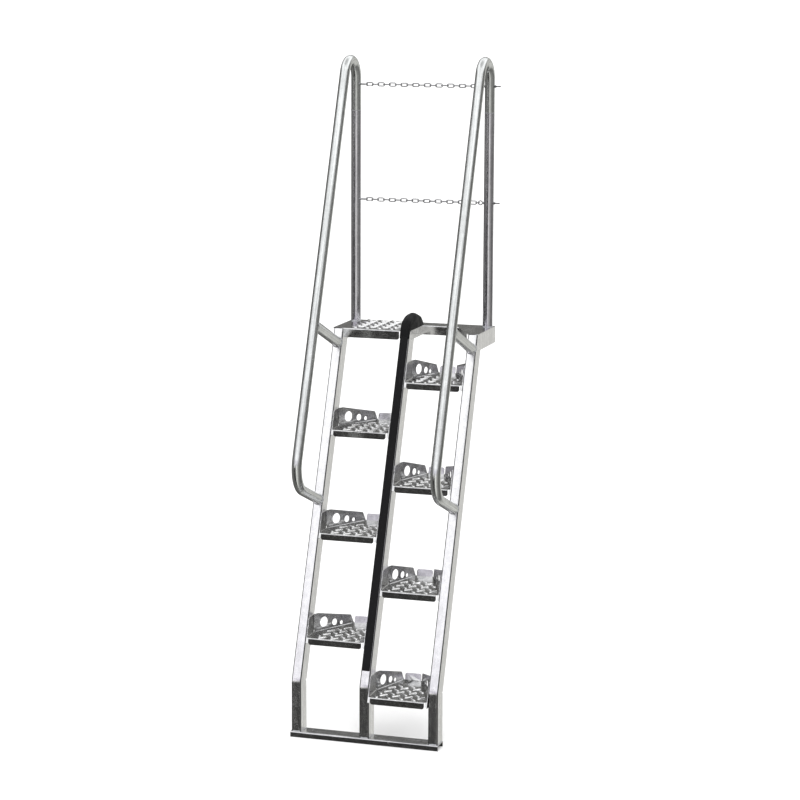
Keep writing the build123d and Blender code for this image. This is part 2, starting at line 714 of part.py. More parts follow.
def make_nuts(heights):
    """A washer and a hexagon nut on the outside of the right rail at each height."""
    washer_x = RAIL_X + TUBE_R + 0.05
    bore_r = 3.05
    with BuildPart() as nuts:
        for z in heights:
            with BuildSketch(Plane.YZ.offset(washer_x)):
                with Locations((POST_Y, z)):
                    Circle(6.0)
                    Circle(bore_r, mode=Mode.SUBTRACT)
            extrude(amount=1.4)
            with BuildSketch(Plane.YZ.offset(washer_x + 1.45)):
                with Locations((POST_Y, z)):
                    RegularPolygon(5.0, 6, major_radius=False)
                    Circle(bore_r, mode=Mode.SUBTRACT)
            extrude(amount=5.0)
    return nuts.part


for name, chain_z in (("upper", CHAIN_Z_HI), ("lower", CHAIN_Z_LO)):
    save(make_eyebolt(chain_z), name + "_chain_eyebolt")
    save(make_staple(chain_z), name + "_chain_fixed_eye")
    save(make_run(chain_z, range(0, 5), ring=True), name + "_chain_run_a")
    save(make_run(chain_z, range(5, 11)), name + "_chain_run_b")
    save(make_run(chain_z, range(11, 17)), name + "_chain_run_c")
    # the flat link that joins the hook to its chain
    save(make_run(chain_z, [HOOK_INDEX - 1]), name + "_chain_end_link")
    save(make_hook(chain_z), name + "_snap_hook")
    save(make_gate(chain_z), name + "_hook_gate")

save(make_nuts((CHAIN_Z_HI, CHAIN_Z_LO)), "eyebolt_nuts")
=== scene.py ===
# Alternating-tread steel stair: three folded stringers, seven half-width treads, a platform,
# two tube handrails, a rubber centre guard and two hooked chains between the rail posts.
# X runs across the stair (left is -X), Y from its front to its back, Z up from the floor.
import math

import bmesh
import bpy
import numpy as np
from mathutils import Matrix, Vector


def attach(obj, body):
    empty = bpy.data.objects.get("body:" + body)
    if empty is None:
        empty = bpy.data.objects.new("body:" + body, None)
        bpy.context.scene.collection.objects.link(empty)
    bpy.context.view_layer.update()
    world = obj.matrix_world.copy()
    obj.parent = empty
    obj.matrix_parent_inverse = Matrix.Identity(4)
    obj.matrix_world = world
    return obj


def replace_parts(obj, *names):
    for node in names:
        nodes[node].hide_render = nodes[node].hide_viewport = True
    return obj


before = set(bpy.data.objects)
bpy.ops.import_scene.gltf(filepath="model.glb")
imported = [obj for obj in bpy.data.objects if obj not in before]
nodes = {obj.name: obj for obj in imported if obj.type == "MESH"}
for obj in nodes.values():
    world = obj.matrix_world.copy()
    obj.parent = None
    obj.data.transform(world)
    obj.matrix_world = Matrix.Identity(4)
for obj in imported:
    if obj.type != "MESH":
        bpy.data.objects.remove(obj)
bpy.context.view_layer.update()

scene = bpy.context.scene

# ------------------------------------------------------------------ sizes, millimetres
# Drawing Y is measured from the front face of the legs, which stands at LEG_FRONT_Y.
LEG_FRONT_Y = 6.0
PLATFORM_H = 1727.2
RISES = 8
RISE = PLATFORM_H / RISES
DECK_T = 4.0
DECK_UNDER_Z = PLATFORM_H - DECK_T
WIDTH = 666.0
BASE_H = 25.0

# slope of the stair, from the floor
SLOPE_DEG = 68.67
SLOPE = math.radians(SLOPE_DEG)
SLOPE_COS = math.cos(SLOPE)
SLOPE_SIN = math.sin(SLOPE)
SLOPE_TAN = math.tan(SLOPE)

# stringer channels: vertical up to the knee, then sloping
CHANNEL_W = 43.6
CHANNEL_D = 72.8
CHANNEL_T = 3.0
CHANNEL_HALF = CHANNEL_W / 2
CHANNEL_RUN = CHANNEL_D / SLOPE_SIN     # level depth through the sloping part
FOLD_R = 5.0                            # outer radius of the folded corners
KNEE_Z = 251.8
OUTER_X = WIDTH / 2 - CHANNEL_W / 2
STRINGER_X = {"left": -OUTER_X, "center": 0.0, "right": OUTER_X}

# treads: each fills the bay between the centre stringer and an outer one
TREAD_T = 3.0
TREAD_DEPTH = 304.0
TAB_H = 80.0                            # side tabs above the tread
BAY_START = CHANNEL_HALF
BAY = WIDTH / 2 - CHANNEL_W - BAY_START
INNER_BEND_Y, INNER_TAPER = 112.0, 18.8     # where a side turns inwards, and its degrees
OUTER_BEND_Y, OUTER_TAPER = 97.0, 29.0

# raised anti-slip bars
CLEAT_L, CLEAT_W = 41.5, 12.6
CLEAT_FIRST_X = 57.0
CLEAT_PITCH_X = 57.0

# handrails; "station" runs up along the slope, "offset" stands square to it, forwards
TUBE_R, TUBE_T = 22.25, 3.0
TUBE_BORE = TUBE_R - TUBE_T
TUBE_SIDES = 56
RAIL_X = 311.1
POST_Y = 815.2
RAIL_TOP = 2929.1
SEAM_Z = 2681.0
RETURN_STATION, RETURN_R = 1038.5, 115.0
BRACE_STATION = 1751.4
FACE_OFFSET = KNEE_Z * SLOPE_COS
RAIL_OFFSET = FACE_OFFSET + 332.7
FOOT_OFFSET = FACE_OFFSET + 0.15        # tube feet stand just clear of the stringer face
POST_IN = RAIL_X - TUBE_R
POST_OUT = RAIL_X + TUBE_R

# top bend: the radius that is tangent to the post, the sloping run and the rail's top height
BEND_R = (RAIL_OFFSET + POST_Y * SLOPE_SIN - (RAIL_TOP - TUBE_R) * SLOPE_COS) / (
    SLOPE_SIN - SLOPE_COS + 1)
BEND_Z = RAIL_TOP - TUBE_R - BEND_R
BEND_Y = POST_Y - BEND_R

# chains, running from the right post to the left one
CHAIN_Z = {"upper": 2797.6, "lower": 2282.3}
WIRE = 4.8
WIRE_R = WIRE / 2
PITCH = 27.0
LINK_IN, LINK_IN_W = 27.2, 9.6
FACE_X0 = 239.3                         # middle of the first upright link
CROWN_R = LINK_IN_W / 2 + WIRE / 2
LEG = LINK_IN / 2 + WIRE / 2 - CROWN_R  # half the straight side of a link
EYE_X, EYE_R, EYE_WIRE = 272.8, 9.0, 5.0
RING_WIRE = 4.2
STAPLE_WIRE, STAPLE_R = 6.0, 9.0


def face_y(z):
    """Y of the sloping front face of the stringers at height z."""
    return (z - KNEE_Z) / SLOPE_TAN


def slope_point(station, offset):
    """(y, z) of a point given along and square to the slope."""
    return (station * SLOPE_COS - offset * SLOPE_SIN, station * SLOPE_SIN + offset * SLOPE_COS)


def repeatable(seed):
    """A repeatable number between 0 and 1."""
    value = math.sin(seed * 12.9898 + 4.1414) * 43758.5453
    return value - math.floor(value)


# ------------------------------------------------------------------ shader graph helpers
class Graph:
    """Short calls for building the node tree of a material or world."""

    def __init__(self, owner):
        owner.use_nodes = True
        self.tree = owner.node_tree
        self.tree.nodes.clear()

    def node(self, kind, inputs=None, **settings):
        """A node with its settings, then its inputs, each a value or a socket to link."""
        new = self.tree.nodes.new("ShaderNode" + kind)
        for key, value in settings.items():
            setattr(new, key, value)
        for socket, value in (inputs or {}).items():
            if isinstance(value, bpy.types.NodeSocket):
                self.tree.links.new(value, new.inputs[socket])
            else:
                new.inputs[socket].default_value = value
        return new

    def calc(self, operation, a, b=0.0):
        return self.node("Math", {0: a, 1: b, 2: 0.0}, operation=operation).outputs[0]

    def times(self, a, b):
        return self.calc("MULTIPLY", a, b)

    def scale(self, vector, factor):
        inputs = {0: vector, "Scale": factor}
        return self.node("VectorMath", inputs, operation="SCALE").outputs[0]

    def mix(self, a, b, amount):
        """Float mix from a to b."""
        return self.node("Mix", {0: amount, 2: a, 3: b}, data_type="FLOAT").outputs[0]

    def mix_colour(self, a, b, amount):
        return self.node("Mix", {0: amount, 6: a, 7: b}, data_type="RGBA").outputs[2]

    def ramp(self, value, start, stop, low=0.0, high=1.0, smooth=True):
        """Map start..stop to low..high."""
        inputs = dict(enumerate((value, start, stop, low, high)))
        kind = "SMOOTHSTEP" if smooth else "LINEAR"
        return self.node("MapRange", inputs, interpolation_type=kind).outputs[0]

    def noise(self, coord, scale, detail, rough, stretch=None):
        if stretch is not None:
            coord = self.node("Mapping", {"Scale": stretch, "Vector": coord}).outputs[0]
        inputs = {"Scale": scale, "Detail": detail, "Roughness": rough, "Vector": coord}
        return self.node("TexNoise", inputs).outputs[0]

    def cells(self, coord, scale):
        inputs = {"Scale": scale, "Vector": coord}
        return self.node("TexVoronoi", inputs, feature="F1").outputs

    def bump(self, height, strength, distance):
        inputs = {"Strength": strength, "Distance": distance, "Height": height}
        return self.node("Bump", inputs).outputs[0]

    def surface(self, colour, rough, metallic, normal, **more):
        inputs = {"Base Color": colour, "Roughness": rough, "Metallic": metallic,
                  "Normal": normal}
        bsdf = self.node("BsdfPrincipled", {**inputs, **more})
        self.node("OutputMaterial", {0: bsdf.outputs[0]})

    def split_by_ray(self, plain, glossy, output):
        """Show one shader to glossy rays and the other to all the rest."""
        ray = self.node("LightPath").outputs["Is Glossy Ray"]
        both = self.node("MixShader", {0: ray, 1: plain.outputs[0], 2: glossy.outputs[0]})
        self.node(output, {0: both.outputs[0]})


def opaque(rgb):
    return rgb + (1.0,)


# ------------------------------------------------------------------ materials
def spangle_colour(graph, obj, spangle):
    """Two random values per zinc crystal, the crystal edges broken up by noise."""
    wobble = graph.node("TexNoise", {"Scale": spangle * 1.6, "Vector": obj}).outputs[1]
    warp_amount = 0.012
    warped = graph.node("Mix", {0: warp_amount, 4: obj, 5: wobble}, data_type="VECTOR").outputs[1]
    colour = graph.cells(warped, spangle)["Color"]
    channels = graph.node("SeparateColor", {0: colour}).outputs
    return channels[0], channels[1]


def paint_shade_by_facing(graph, colour, painted_side_shade, painted_bend_shade):
    """Painted shade: darken faces that look straight along X, or those on folded corners, where shade
    falls.
    """
    normal = graph.node("NewGeometry").outputs["True Normal"]
    side = graph.calc("ABSOLUTE", graph.node("SeparateXYZ", {0: normal}).outputs[0])
    if painted_side_shade < 1.0:
        shade = graph.mix(1.0, painted_side_shade, amount=graph.ramp(side, start=0.97, stop=0.995))
    else:
        bend = graph.times(graph.ramp(side, start=0.04, stop=0.18),
                           graph.ramp(side, start=0.93, stop=0.985, low=1.0, high=0.0))
        shade = graph.mix(1.0, painted_bend_shade, amount=bend)
    return graph.scale(colour, shade)


def galvanised(name, light, dark, spangle, rough, streak, streak_amount, mottle=0.35, bump=0.05,
               use_uv=False, painted_side_shade=1.0, painted_bend_shade=1.0):
    """Hot-dip zinc: crystal spangle, cloudy mottle, drips or draw marks, fine surface grain."""
    material = bpy.data.materials.new(name)
    graph = Graph(material)
    coords = graph.node("TexCoord").outputs
    obj = coords["Object"]
    streak_coord = coords["UV"] if use_uv else obj
    cells, rough_cells = spangle_colour(graph, obj, spangle)
    clouds = graph.noise(obj, scale=9.0, detail=6.0, rough=0.6)
    blotch = graph.noise(obj, scale=28.0, detail=5.0, rough=0.62)
    blotch = graph.ramp(blotch, start=0.38, stop=0.68)
    lines = graph.noise(streak_coord, scale=1.0, detail=5.0, rough=0.6, stretch=streak)
    lines = graph.ramp(lines, start=0.38, stop=0.66)

    tone = graph.mix(0.5, clouds, amount=mottle)
    tone = graph.mix(tone, cells, amount=mottle * 0.55)
    tone = graph.mix(tone, blotch, amount=mottle * 0.5)
    tone = graph.mix(tone, lines, amount=streak_amount)
    tone = graph.ramp(tone, start=0.22, stop=0.78, smooth=False)
    colour = graph.mix_colour(opaque(dark), opaque(light), amount=tone)

    # white zinc bloom in a few places, which is also rougher
    bloom_cover, bloom_rough = 0.35, 0.14
    bloom = graph.noise(obj, scale=14.0, detail=8.0, rough=0.7)
    bloom = graph.ramp(bloom, start=0.62, stop=0.78)
    colour = graph.mix_colour(colour, (0.86, 0.87, 0.88, 1.0),
                              amount=graph.times(bloom, bloom_cover))
    # painted shade on faces that look along X and on folded corners
    if painted_side_shade < 1.0 or painted_bend_shade < 1.0:
        colour = paint_shade_by_facing(graph, colour, painted_side_shade, painted_bend_shade)

    gloss = graph.mix(rough_cells, clouds, amount=0.55)
    gloss = graph.mix(gloss, lines, amount=0.3)
    gloss = graph.ramp(gloss, start=0.2, stop=0.8, low=rough[0], high=rough[1], smooth=False)
    gloss = graph.calc("ADD", gloss, graph.times(bloom, bloom_rough))

    grain = graph.noise(obj, scale=900.0, detail=3.0, rough=0.6)
    wave = graph.noise(obj, scale=34.0, detail=2.0, rough=0.5)
    height = graph.mix(wave, grain, amount=0.3)
    normal = graph.bump(height, strength=bump, distance=0.002)
    graph.surface(colour, gloss, metallic=1.0, normal=normal)
    return material


def rubber(name):
    """Near-black rubber with long pale scuffs and a fine pebbled grain."""
    material = bpy.data.materials.new(name)
    graph = Graph(material)
    obj = graph.node("TexCoord").outputs["Object"]
    cloud = graph.noise(obj, scale=22.0, detail=5.0, rough=0.6)
    scuff = graph.noise(obj, scale=1.0, detail=6.0, rough=0.65, stretch=(160.0, 160.0, 12.0))
    scuff = graph.ramp(scuff, start=0.55, stop=0.75)
    scuff_cover = 0.35
    colour = graph.mix_colour((0.0025, 0.0025, 0.0028, 1.0), (0.008, 0.008, 0.009, 1.0),
                              amount=cloud)
    colour = graph.mix_colour(colour, (0.03, 0.03, 0.031, 1.0),
                              amount=graph.times(scuff, scuff_cover))
    gloss = graph.ramp(cloud, start=0.3, stop=0.7, low=0.46, high=0.66)
    fine = graph.noise(obj, scale=1400.0, detail=2.0, rough=0.6)
    pebbles = graph.cells(obj, scale=700.0)["Distance"]
    height = graph.mix(fine, pebbles, amount=0.5)
    normal = graph.bump(height, strength=0.25, distance=0.0006)
    graph.surface(colour, gloss, metallic=0.0, normal=normal, **{"Specular IOR Level": 0.14})
    return material


# light and dark are the two ends of the zinc's tone; streak stretches the line noise
MATERIALS = {
    # the frame's folded corners carry painted shade lines
    "frame": galvanised(
        "galvanised_frame", light=(0.98, 0.98, 0.98), dark=(0.74, 0.74, 0.745), spangle=60,
        rough=(0.15, 0.28), streak=(70.0, 70.0, 6.0), streak_amount=0.25, painted_bend_shade=0.15),
    "base": galvanised(
        "galvanised_floor_channel", light=(0.78, 0.78, 0.79), dark=(0.50, 0.50, 0.51),
        spangle=60, rough=(0.12, 0.22), streak=(8.0, 60.0, 60.0), streak_amount=0.2),
    # the tread's faces that look along X carry painted shade
    "tread": galvanised(
        "galvanised_tread", light=(0.86, 0.86, 0.86), dark=(0.52, 0.52, 0.525), spangle=75,
        rough=(0.12, 0.21), streak=(40.0, 8.0, 40.0), streak_amount=0.2, mottle=0.4,
        bump=0.03, painted_side_shade=0.34),
    # the raised bars are lighter than the tread sheet: partly polished wear, partly painted highlight
    "cleat": galvanised(
        "galvanised_cleats", light=(0.98, 0.98, 0.98), dark=(0.80, 0.80, 0.80), spangle=120,
        rough=(0.14, 0.24), streak=(40.0, 8.0, 40.0), streak_amount=0.2, mottle=0.4, bump=0.03),
    "deck": galvanised(
        "galvanised_deck", light=(0.86, 0.86, 0.86), dark=(0.54, 0.54, 0.545), spangle=75,
        rough=(0.12, 0.21), streak=(40.0, 8.0, 40.0), streak_amount=0.2, mottle=0.4, bump=0.03),
    "tube": galvanised(
        "galvanised_tube", light=(0.90, 0.92, 0.91), dark=(0.52, 0.53, 0.525), spangle=80,
        rough=(0.15, 0.28), streak=(26.0, 2.2, 1.0), streak_amount=0.5, use_uv=True),
    "post": galvanised(
        "galvanised_post", light=(0.90, 0.89, 0.93), dark=(0.50, 0.49, 0.53), spangle=90,
        rough=(0.15, 0.28), streak=(30.0, 2.0, 1.0), streak_amount=0.5, mottle=0.4,
        use_uv=True),
    "hardware": galvanised(
        "galvanised_hardware", light=(0.50, 0.50, 0.51), dark=(0.24, 0.24, 0.25), spangle=260,
        rough=(0.20, 0.36), streak=(200.0, 200.0, 60.0), streak_amount=0.2, bump=0.1),
    "weld": galvanised(
        "galvanised_weld", light=(0.74, 0.75, 0.77), dark=(0.42, 0.43, 0.45), spangle=160,
        rough=(0.28, 0.42), streak=(120.0, 120.0, 60.0), streak_amount=0.3, bump=0.15),
    "rubber": rubber("guard_rubber"),
}


# ------------------------------------------------------------------ mesh helpers
def break_edges(item, width, angle, harden):
    """A small bevel, in millimetres, on edges sharper than angle."""
    bevel = item.modifiers.new("edge_break", "BEVEL")
    bevel.width = width * 0.001
    bevel.segments = 2
    bevel.limit_method = "ANGLE"
    bevel.angle_limit = math.radians(angle)
    bevel.harden_normals = harden
    return bevel


class Shape:
    """Collects closed shells, in drawing millimetres, into one mesh in metres."""

    def __init__(self):
        self.verts = []
        self.faces = []
        self.uvs = []

    def add(self, verts, faces, uvs=None):
        base = len(self.verts)
        self.verts += [(x * 0.001, (y + LEG_FRONT_Y) * 0.001, z * 0.001) for x, y, z in verts]
        self.faces += [[i + base for i in face] for face in faces]
        self.uvs += list(uvs) if uvs is not None else [(0.0, 0.0)] * len(verts)

    def make(self, name, finish, body="stair", smooth=35.0, bevel=0.0):
        """The object: edges sharper than smooth degrees stay sharp."""
        mesh = bpy.data.meshes.new(name)
        mesh.from_pydata(self.verts, [], self.faces)
        layer = mesh.uv_layers.new(name="UVMap")
        corners = np.zeros(len(mesh.loops), np.int32)
        mesh.loops.foreach_get("vertex_index", corners)
        layer.data.foreach_set("uv", np.array(self.uvs, np.float32)[corners].ravel())
        mesh.update()
        work = bmesh.new()
        work.from_mesh(mesh)
        bmesh.ops.recalc_face_normals(work, faces=work.faces)
        work.to_mesh(mesh)
        work.free()
        mesh.shade_smooth()
        mesh.set_sharp_from_angle(angle=math.radians(smooth))
        item = bpy.data.objects.new(name, mesh)
        scene.collection.objects.link(item)
        if bevel:
            break_edges(item, bevel, angle=40.0, harden=True)
        item.data.materials.append(MATERIALS[finish])
        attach(item, body)
        return item


def circle(count):
    """Angles of count points round a full turn."""
    return [2 * math.pi * k / count for k in range(count)]


def arc(centre, radius, start, stop, steps):
    """Points of an arc in a plane, from start to stop degrees."""
    angles = [math.radians(start + (stop - start) * i / steps) for i in range(steps + 1)]
    return [(centre[0] + radius * math.cos(a), centre[1] + radius * math.sin(a)) for a in angles]


def straight(start, stop, steps):
    """Evenly spaced points of a line in a plane, both ends included."""
    return [(start[0] + (stop[0] - start[0]) * i / steps,
             start[1] + (stop[1] - start[1]) * i / steps) for i in range(steps + 1)]


def at_x(x, points):
    """Stand (y, z) points up at x."""
    return [(x, y, z) for y, z in points]


def distances(points):
    """Distance of each point from the first, along the polyline."""
    steps = np.linalg.norm(np.diff(points, axis=0), axis=1)
    return np.concatenate([[0], np.cumsum(steps)])


def loft_faces(rows, count, closed=False, caps=True):
    """Faces between rows of count points, capped at both ends or closed on themselves."""
    faces = []
    for row in range(rows if closed else rows - 1):
        here = row * count
        there = (row + 1) % rows * count
        for k in range(count):
            after = (k + 1) % count
            faces.append([here + k, here + after, there + after, there + k])
    if caps and not closed:
        faces.append(list(range(count))[::-1])
        faces.append([(rows - 1) * count + k for k in range(count)])
    return faces


def hollow_faces(rows, sides):
    """Faces of a tube whose outer rings are followed by its inner rings."""
    inner = rows * sides
    faces = []
    for row in range(rows - 1):
        here = row * sides
        there = here + sides
        for k in range(sides):
            after = (k + 1) % sides
            faces.append([here + k, here + after, there + after, there + k])
            faces.append([inner + here + after, inner + here + k,
                          inner + there + k, inner + there + after])
    end = (rows - 1) * sides
    for k in range(sides):
        after = (k + 1) % sides
        faces.append([k, inner + k, inner + after, after])
        faces.append([end + after, inner + end + after, inner + end + k, end + k])
    return faces


def frames_along(path, closed):
    """Points of a polyline with a rotation-minimising pair of normals at each."""
    points = np.array(path, float)
    if closed:
        tangent = np.roll(points, -1, 0) - np.roll(points, 1, 0)
    else:
        tangent = np.gradient(points, axis=0)
    tangent /= np.linalg.norm(tangent, axis=1)[:, None]
    up = np.array([1.0, 0, 0])
    if abs(tangent[0] @ up) > 0.9:
        up = np.array([0, 1.0, 0])
    first = np.cross(tangent[0], up)
    normals = [first / np.linalg.norm(first)]
    for direction in tangent[1:]:
        moved = normals[-1] - direction * (normals[-1] @ direction)
        normals.append(moved / np.linalg.norm(moved))
    normals = np.array(normals)
    return points, normals, np.cross(tangent, normals)


def rings(path, radius, sides, closed=False):
    """Rings round a path, with UVs of turn and metres run. radius is one value or a list."""
    points, u, w = frames_along(path, closed)
    count = len(points)
    if closed:
        # spread the twist left over at the seam
        twist = math.atan2(u[-1] @ w[0], u[-1] @ u[0])
        for i in range(count):
            turn = -twist * i / (count - 1)
            c, s = math.cos(turn), math.sin(turn)
            u[i], w[i] = u[i] * c + w[i] * s, -u[i] * s + w[i] * c
    radii = np.broadcast_to(np.array(radius, float), count)
    run = distances(points)
    verts, uvs = [], []
    for i in range(count):
        for k, angle in enumerate(circle(sides)):
            spoke = math.cos(angle) * u[i] + math.sin(angle) * w[i]
            verts.append(tuple(points[i] + radii[i] * spoke))
            uvs.append((k / sides, run[i] * 0.001))
    return verts, uvs


def sweep(shape, path, radius, sides, closed=False):
    """A solid round bar along a path."""
    verts, uvs = rings(path, radius, sides, closed)
    shape.add(verts, loft_faces(len(path), sides, closed), uvs)


def pipe(shape, path):
    """A hollow handrail tube along a path, with its two end rings."""
    outer, outer_uvs = rings(path, TUBE_R, TUBE_SIDES)
    inner, inner_uvs = rings(path, TUBE_BORE, TUBE_SIDES)
    shape.add(outer + inner, hollow_faces(len(path), TUBE_SIDES), outer_uvs + inner_uvs)


def resample(path, step, closed):
    points = np.array(list(path) + ([path[0]] if closed else []), float)
    run = distances(points)
    count = max(int(round(run[-1] / step)), 2)
    stops = np.linspace(0, run[-1], count + 1)
    spaced = np.stack([np.interp(stops, run, points[:, k]) for k in range(3)], 1)
    return spaced[:-1] if closed else spaced


def bead(shape, path, radius, closed=False, seed=1, ripple=2.6):
    """A rippled weld bead along a path; open beads taper over their last 3 mm."""
    step = 0.75
    points = resample(path, step, closed)
    count = len(points)
    radii = []
    for i in range(count):
        run = i * step
        phase = (run / ripple) % 1.0
        swell = (1.0 + 0.10 * (phase - 0.5) + 0.08 * math.sin(run * 0.31 + seed)
                 + 0.05 * math.sin(run * 0.11 + seed * 2.3))
        if not closed:
            end = min(i, count - 1 - i) * step
            swell *= min(1.0, 0.35 + 0.65 * math.sqrt(min(end / 3.0, 1.0)))
        radii.append(radius * swell)
    sweep(shape, points, radii, sides=10, closed=closed)


# ------------------------------------------------------------------ handrail tubes
def hoop_path():
    """(y, z) up from the post seam, over the top bend, down the slope and in to the face."""
    bend_end = (BEND_Y - BEND_R * SLOPE_SIN, BEND_Z + BEND_R * SLOPE_COS)
    return_centre = slope_point(RETURN_STATION + RETURN_R, RAIL_OFFSET - RETURN_R)
    parts = [
        straight((POST_Y, SEAM_Z), (POST_Y, BEND_Z), 6),
        arc((BEND_Y, BEND_Z), BEND_R, 0, 90 + SLOPE_DEG, 56),
        straight(bend_end, slope_point(RETURN_STATION + RETURN_R, RAIL_OFFSET), 40),
        arc(return_centre, RETURN_R, 90 + SLOPE_DEG, 180 + SLOPE_DEG, 32),
        straight(slope_point(RETURN_STATION, RAIL_OFFSET - RETURN_R),
                 slope_point(RETURN_STATION, FOOT_OFFSET), 10),
    ]
    return parts[0] + [point for part in parts[1:] for point in part[1:]]


def make_hoop(name, rail_x):
    shape = Shape()
    pipe(shape, at_x(rail_x, hoop_path()))
    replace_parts(shape.make(name + "_hoop_tube", "tube"), name + "_handrail_hoop")


def make_post(name, rail_x):
    shape = Shape()
    pipe(shape, at_x(rail_x, straight((POST_Y, PLATFORM_H), (POST_Y, SEAM_Z), 40)))
    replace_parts(shape.make(name + "_post_tube", "post"), name + "_handrail_post")


def make_brace(name, rail_x):
    """Straight tube square to the slope, with a saddle end against the hoop."""
    steps = 14
    verts, uvs = [], []
    for radius in (TUBE_R, TUBE_BORE):
        for i in range(steps + 1):
            for k, angle in enumerate(circle(TUBE_SIDES)):
                x = radius * math.cos(angle)
                along = radius * math.sin(angle)
                saddle = RAIL_OFFSET - math.sqrt(max((TUBE_R + 0.1) ** 2 - x * x, 0.0))
                offset = FOOT_OFFSET + (saddle - FOOT_OFFSET) * i / steps
                y, z = slope_point(BRACE_STATION + along, offset)
                verts.append((rail_x + x, y, z))
                uvs.append((k / TUBE_SIDES, offset * 0.001))
    shape = Shape()
    shape.add(verts, hollow_faces(steps + 1, TUBE_SIDES), uvs)
    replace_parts(shape.make(name + "_brace", "tube"), name + "_brace_tube")


def corner_drop(x):
    """How far the folded corner of a stringer face falls away at x from its middle."""
    over = min(max(abs(x) - (CHANNEL_HALF - FOLD_R), 0.0), FOLD_R)
    return FOLD_R - math.sqrt(FOLD_R * FOLD_R - over * over)


WELD_POINTS = 140       # points round each tube weld
WELD_RING_R = TUBE_R + 0.7
WELD_LIMIT_X = 21.6     # face rings stop short of the stair's side


def face_ring(rail_x, side, station):
    """Ring where a tube meets the stringer face."""
    points = []
    for angle in circle(WELD_POINTS):
        x = WELD_RING_R * math.cos(angle)
        y, z = slope_point(station + WELD_RING_R * math.sin(angle),
                           FACE_OFFSET + 0.8 - 0.55 * corner_drop(x))
        if side * x > 0:
            x = min(max(x, -WELD_LIMIT_X), WELD_LIMIT_X)
        points.append((rail_x + x, y, z))
    return points


def saddle_ring(rail_x):
    """Ring where the brace meets the hoop."""
    points = []
    for angle in circle(WELD_POINTS):
        along = TUBE_R * math.sin(angle)
        y, z = slope_point(BRACE_STATION + along * 1.03, RAIL_OFFSET - abs(along) * 1.02 - 0.3)
        points.append((rail_x + TUBE_R * math.cos(angle) * 1.01, y, z))
    return points


def level_ring(rail_x, radius, z):
    """Level ring round the post."""
    return [(rail_x + radius * math.cos(angle), POST_Y + radius * math.sin(angle), z)
            for angle in circle(WELD_POINTS)]


def make_handrail_welds(name, side, rail_x):
    beads = [   # path, bead radius
        (face_ring(rail_x, side, RETURN_STATION), 2.3),
        (face_ring(rail_x, side, BRACE_STATION), 2.3),
        (saddle_ring(rail_x), 2.0),
        (level_ring(rail_x, WELD_RING_R, PLATFORM_H + 0.8), 2.4),
        (level_ring(rail_x, TUBE_R - 0.9, SEAM_Z), 1.5),
    ]
    shape = Shape()
    for seed, (path, radius) in enumerate(beads, 1):
        bead(shape, path, radius, closed=True, seed=seed)
    shape.make(name + "_handrail_welds", "weld", smooth=60)


for name, side in (("left", -1), ("right", 1)):
    make_hoop(name, side * RAIL_X)
    make_post(name, side * RAIL_X)
    make_brace(name, side * RAIL_X)
    make_handrail_welds(name, side, side * RAIL_X)


# ------------------------------------------------------------------ stringers
KNEE_R = 75.0
KNEE_TURN = 90 - SLOPE_DEG
KNEE_STEPS = 14
FOLD_IN_R = 2.0


def channel_line(depth):
    """The (y, z) path up the channel at a depth behind its front face."""
    centre_z = KNEE_Z - KNEE_R * math.tan(math.radians(KNEE_TURN / 2))
    knee = arc((KNEE_R, centre_z), KNEE_R - depth, 180, 180 - KNEE_TURN, KNEE_STEPS)
    top = (face_y(DECK_UNDER_Z) + depth / SLOPE_SIN, DECK_UNDER_Z)
    return [(depth, BASE_H)] + knee + [top]


def rear_line():
    """The (y, z) rear edge of a wall, with a shallow notch at the knee."""
    knee_z = KNEE_Z + (CHANNEL_D - CHANNEL_RUN) * SLOPE_TAN
    notch_y = CHANNEL_D - 11
    above_z = knee_z + 3.2 * SLOPE_SIN + 5.0
    return [
        (CHANNEL_D, BASE_H),
        (CHANNEL_D, knee_z - 2.4),
        (notch_y, knee_z - 1.2),
        (notch_y, knee_z + 1.2),
        (face_y(above_z) + CHANNEL_RUN, above_z),
        (face_y(DECK_UNDER_Z) + CHANNEL_RUN, DECK_UNDER_Z),
    ]


def web_section(half, depth, radius, angles):
    """(x, depth) across the web: a rounded corner at each side."""
    left = [(-half, depth + radius)]
    for angle in map(math.radians, angles):
        left.append((-half + radius - radius * math.cos(angle),
                     depth + radius - radius * math.sin(angle)))
    return left + [(-x, d) for x, d in left[::-1]]


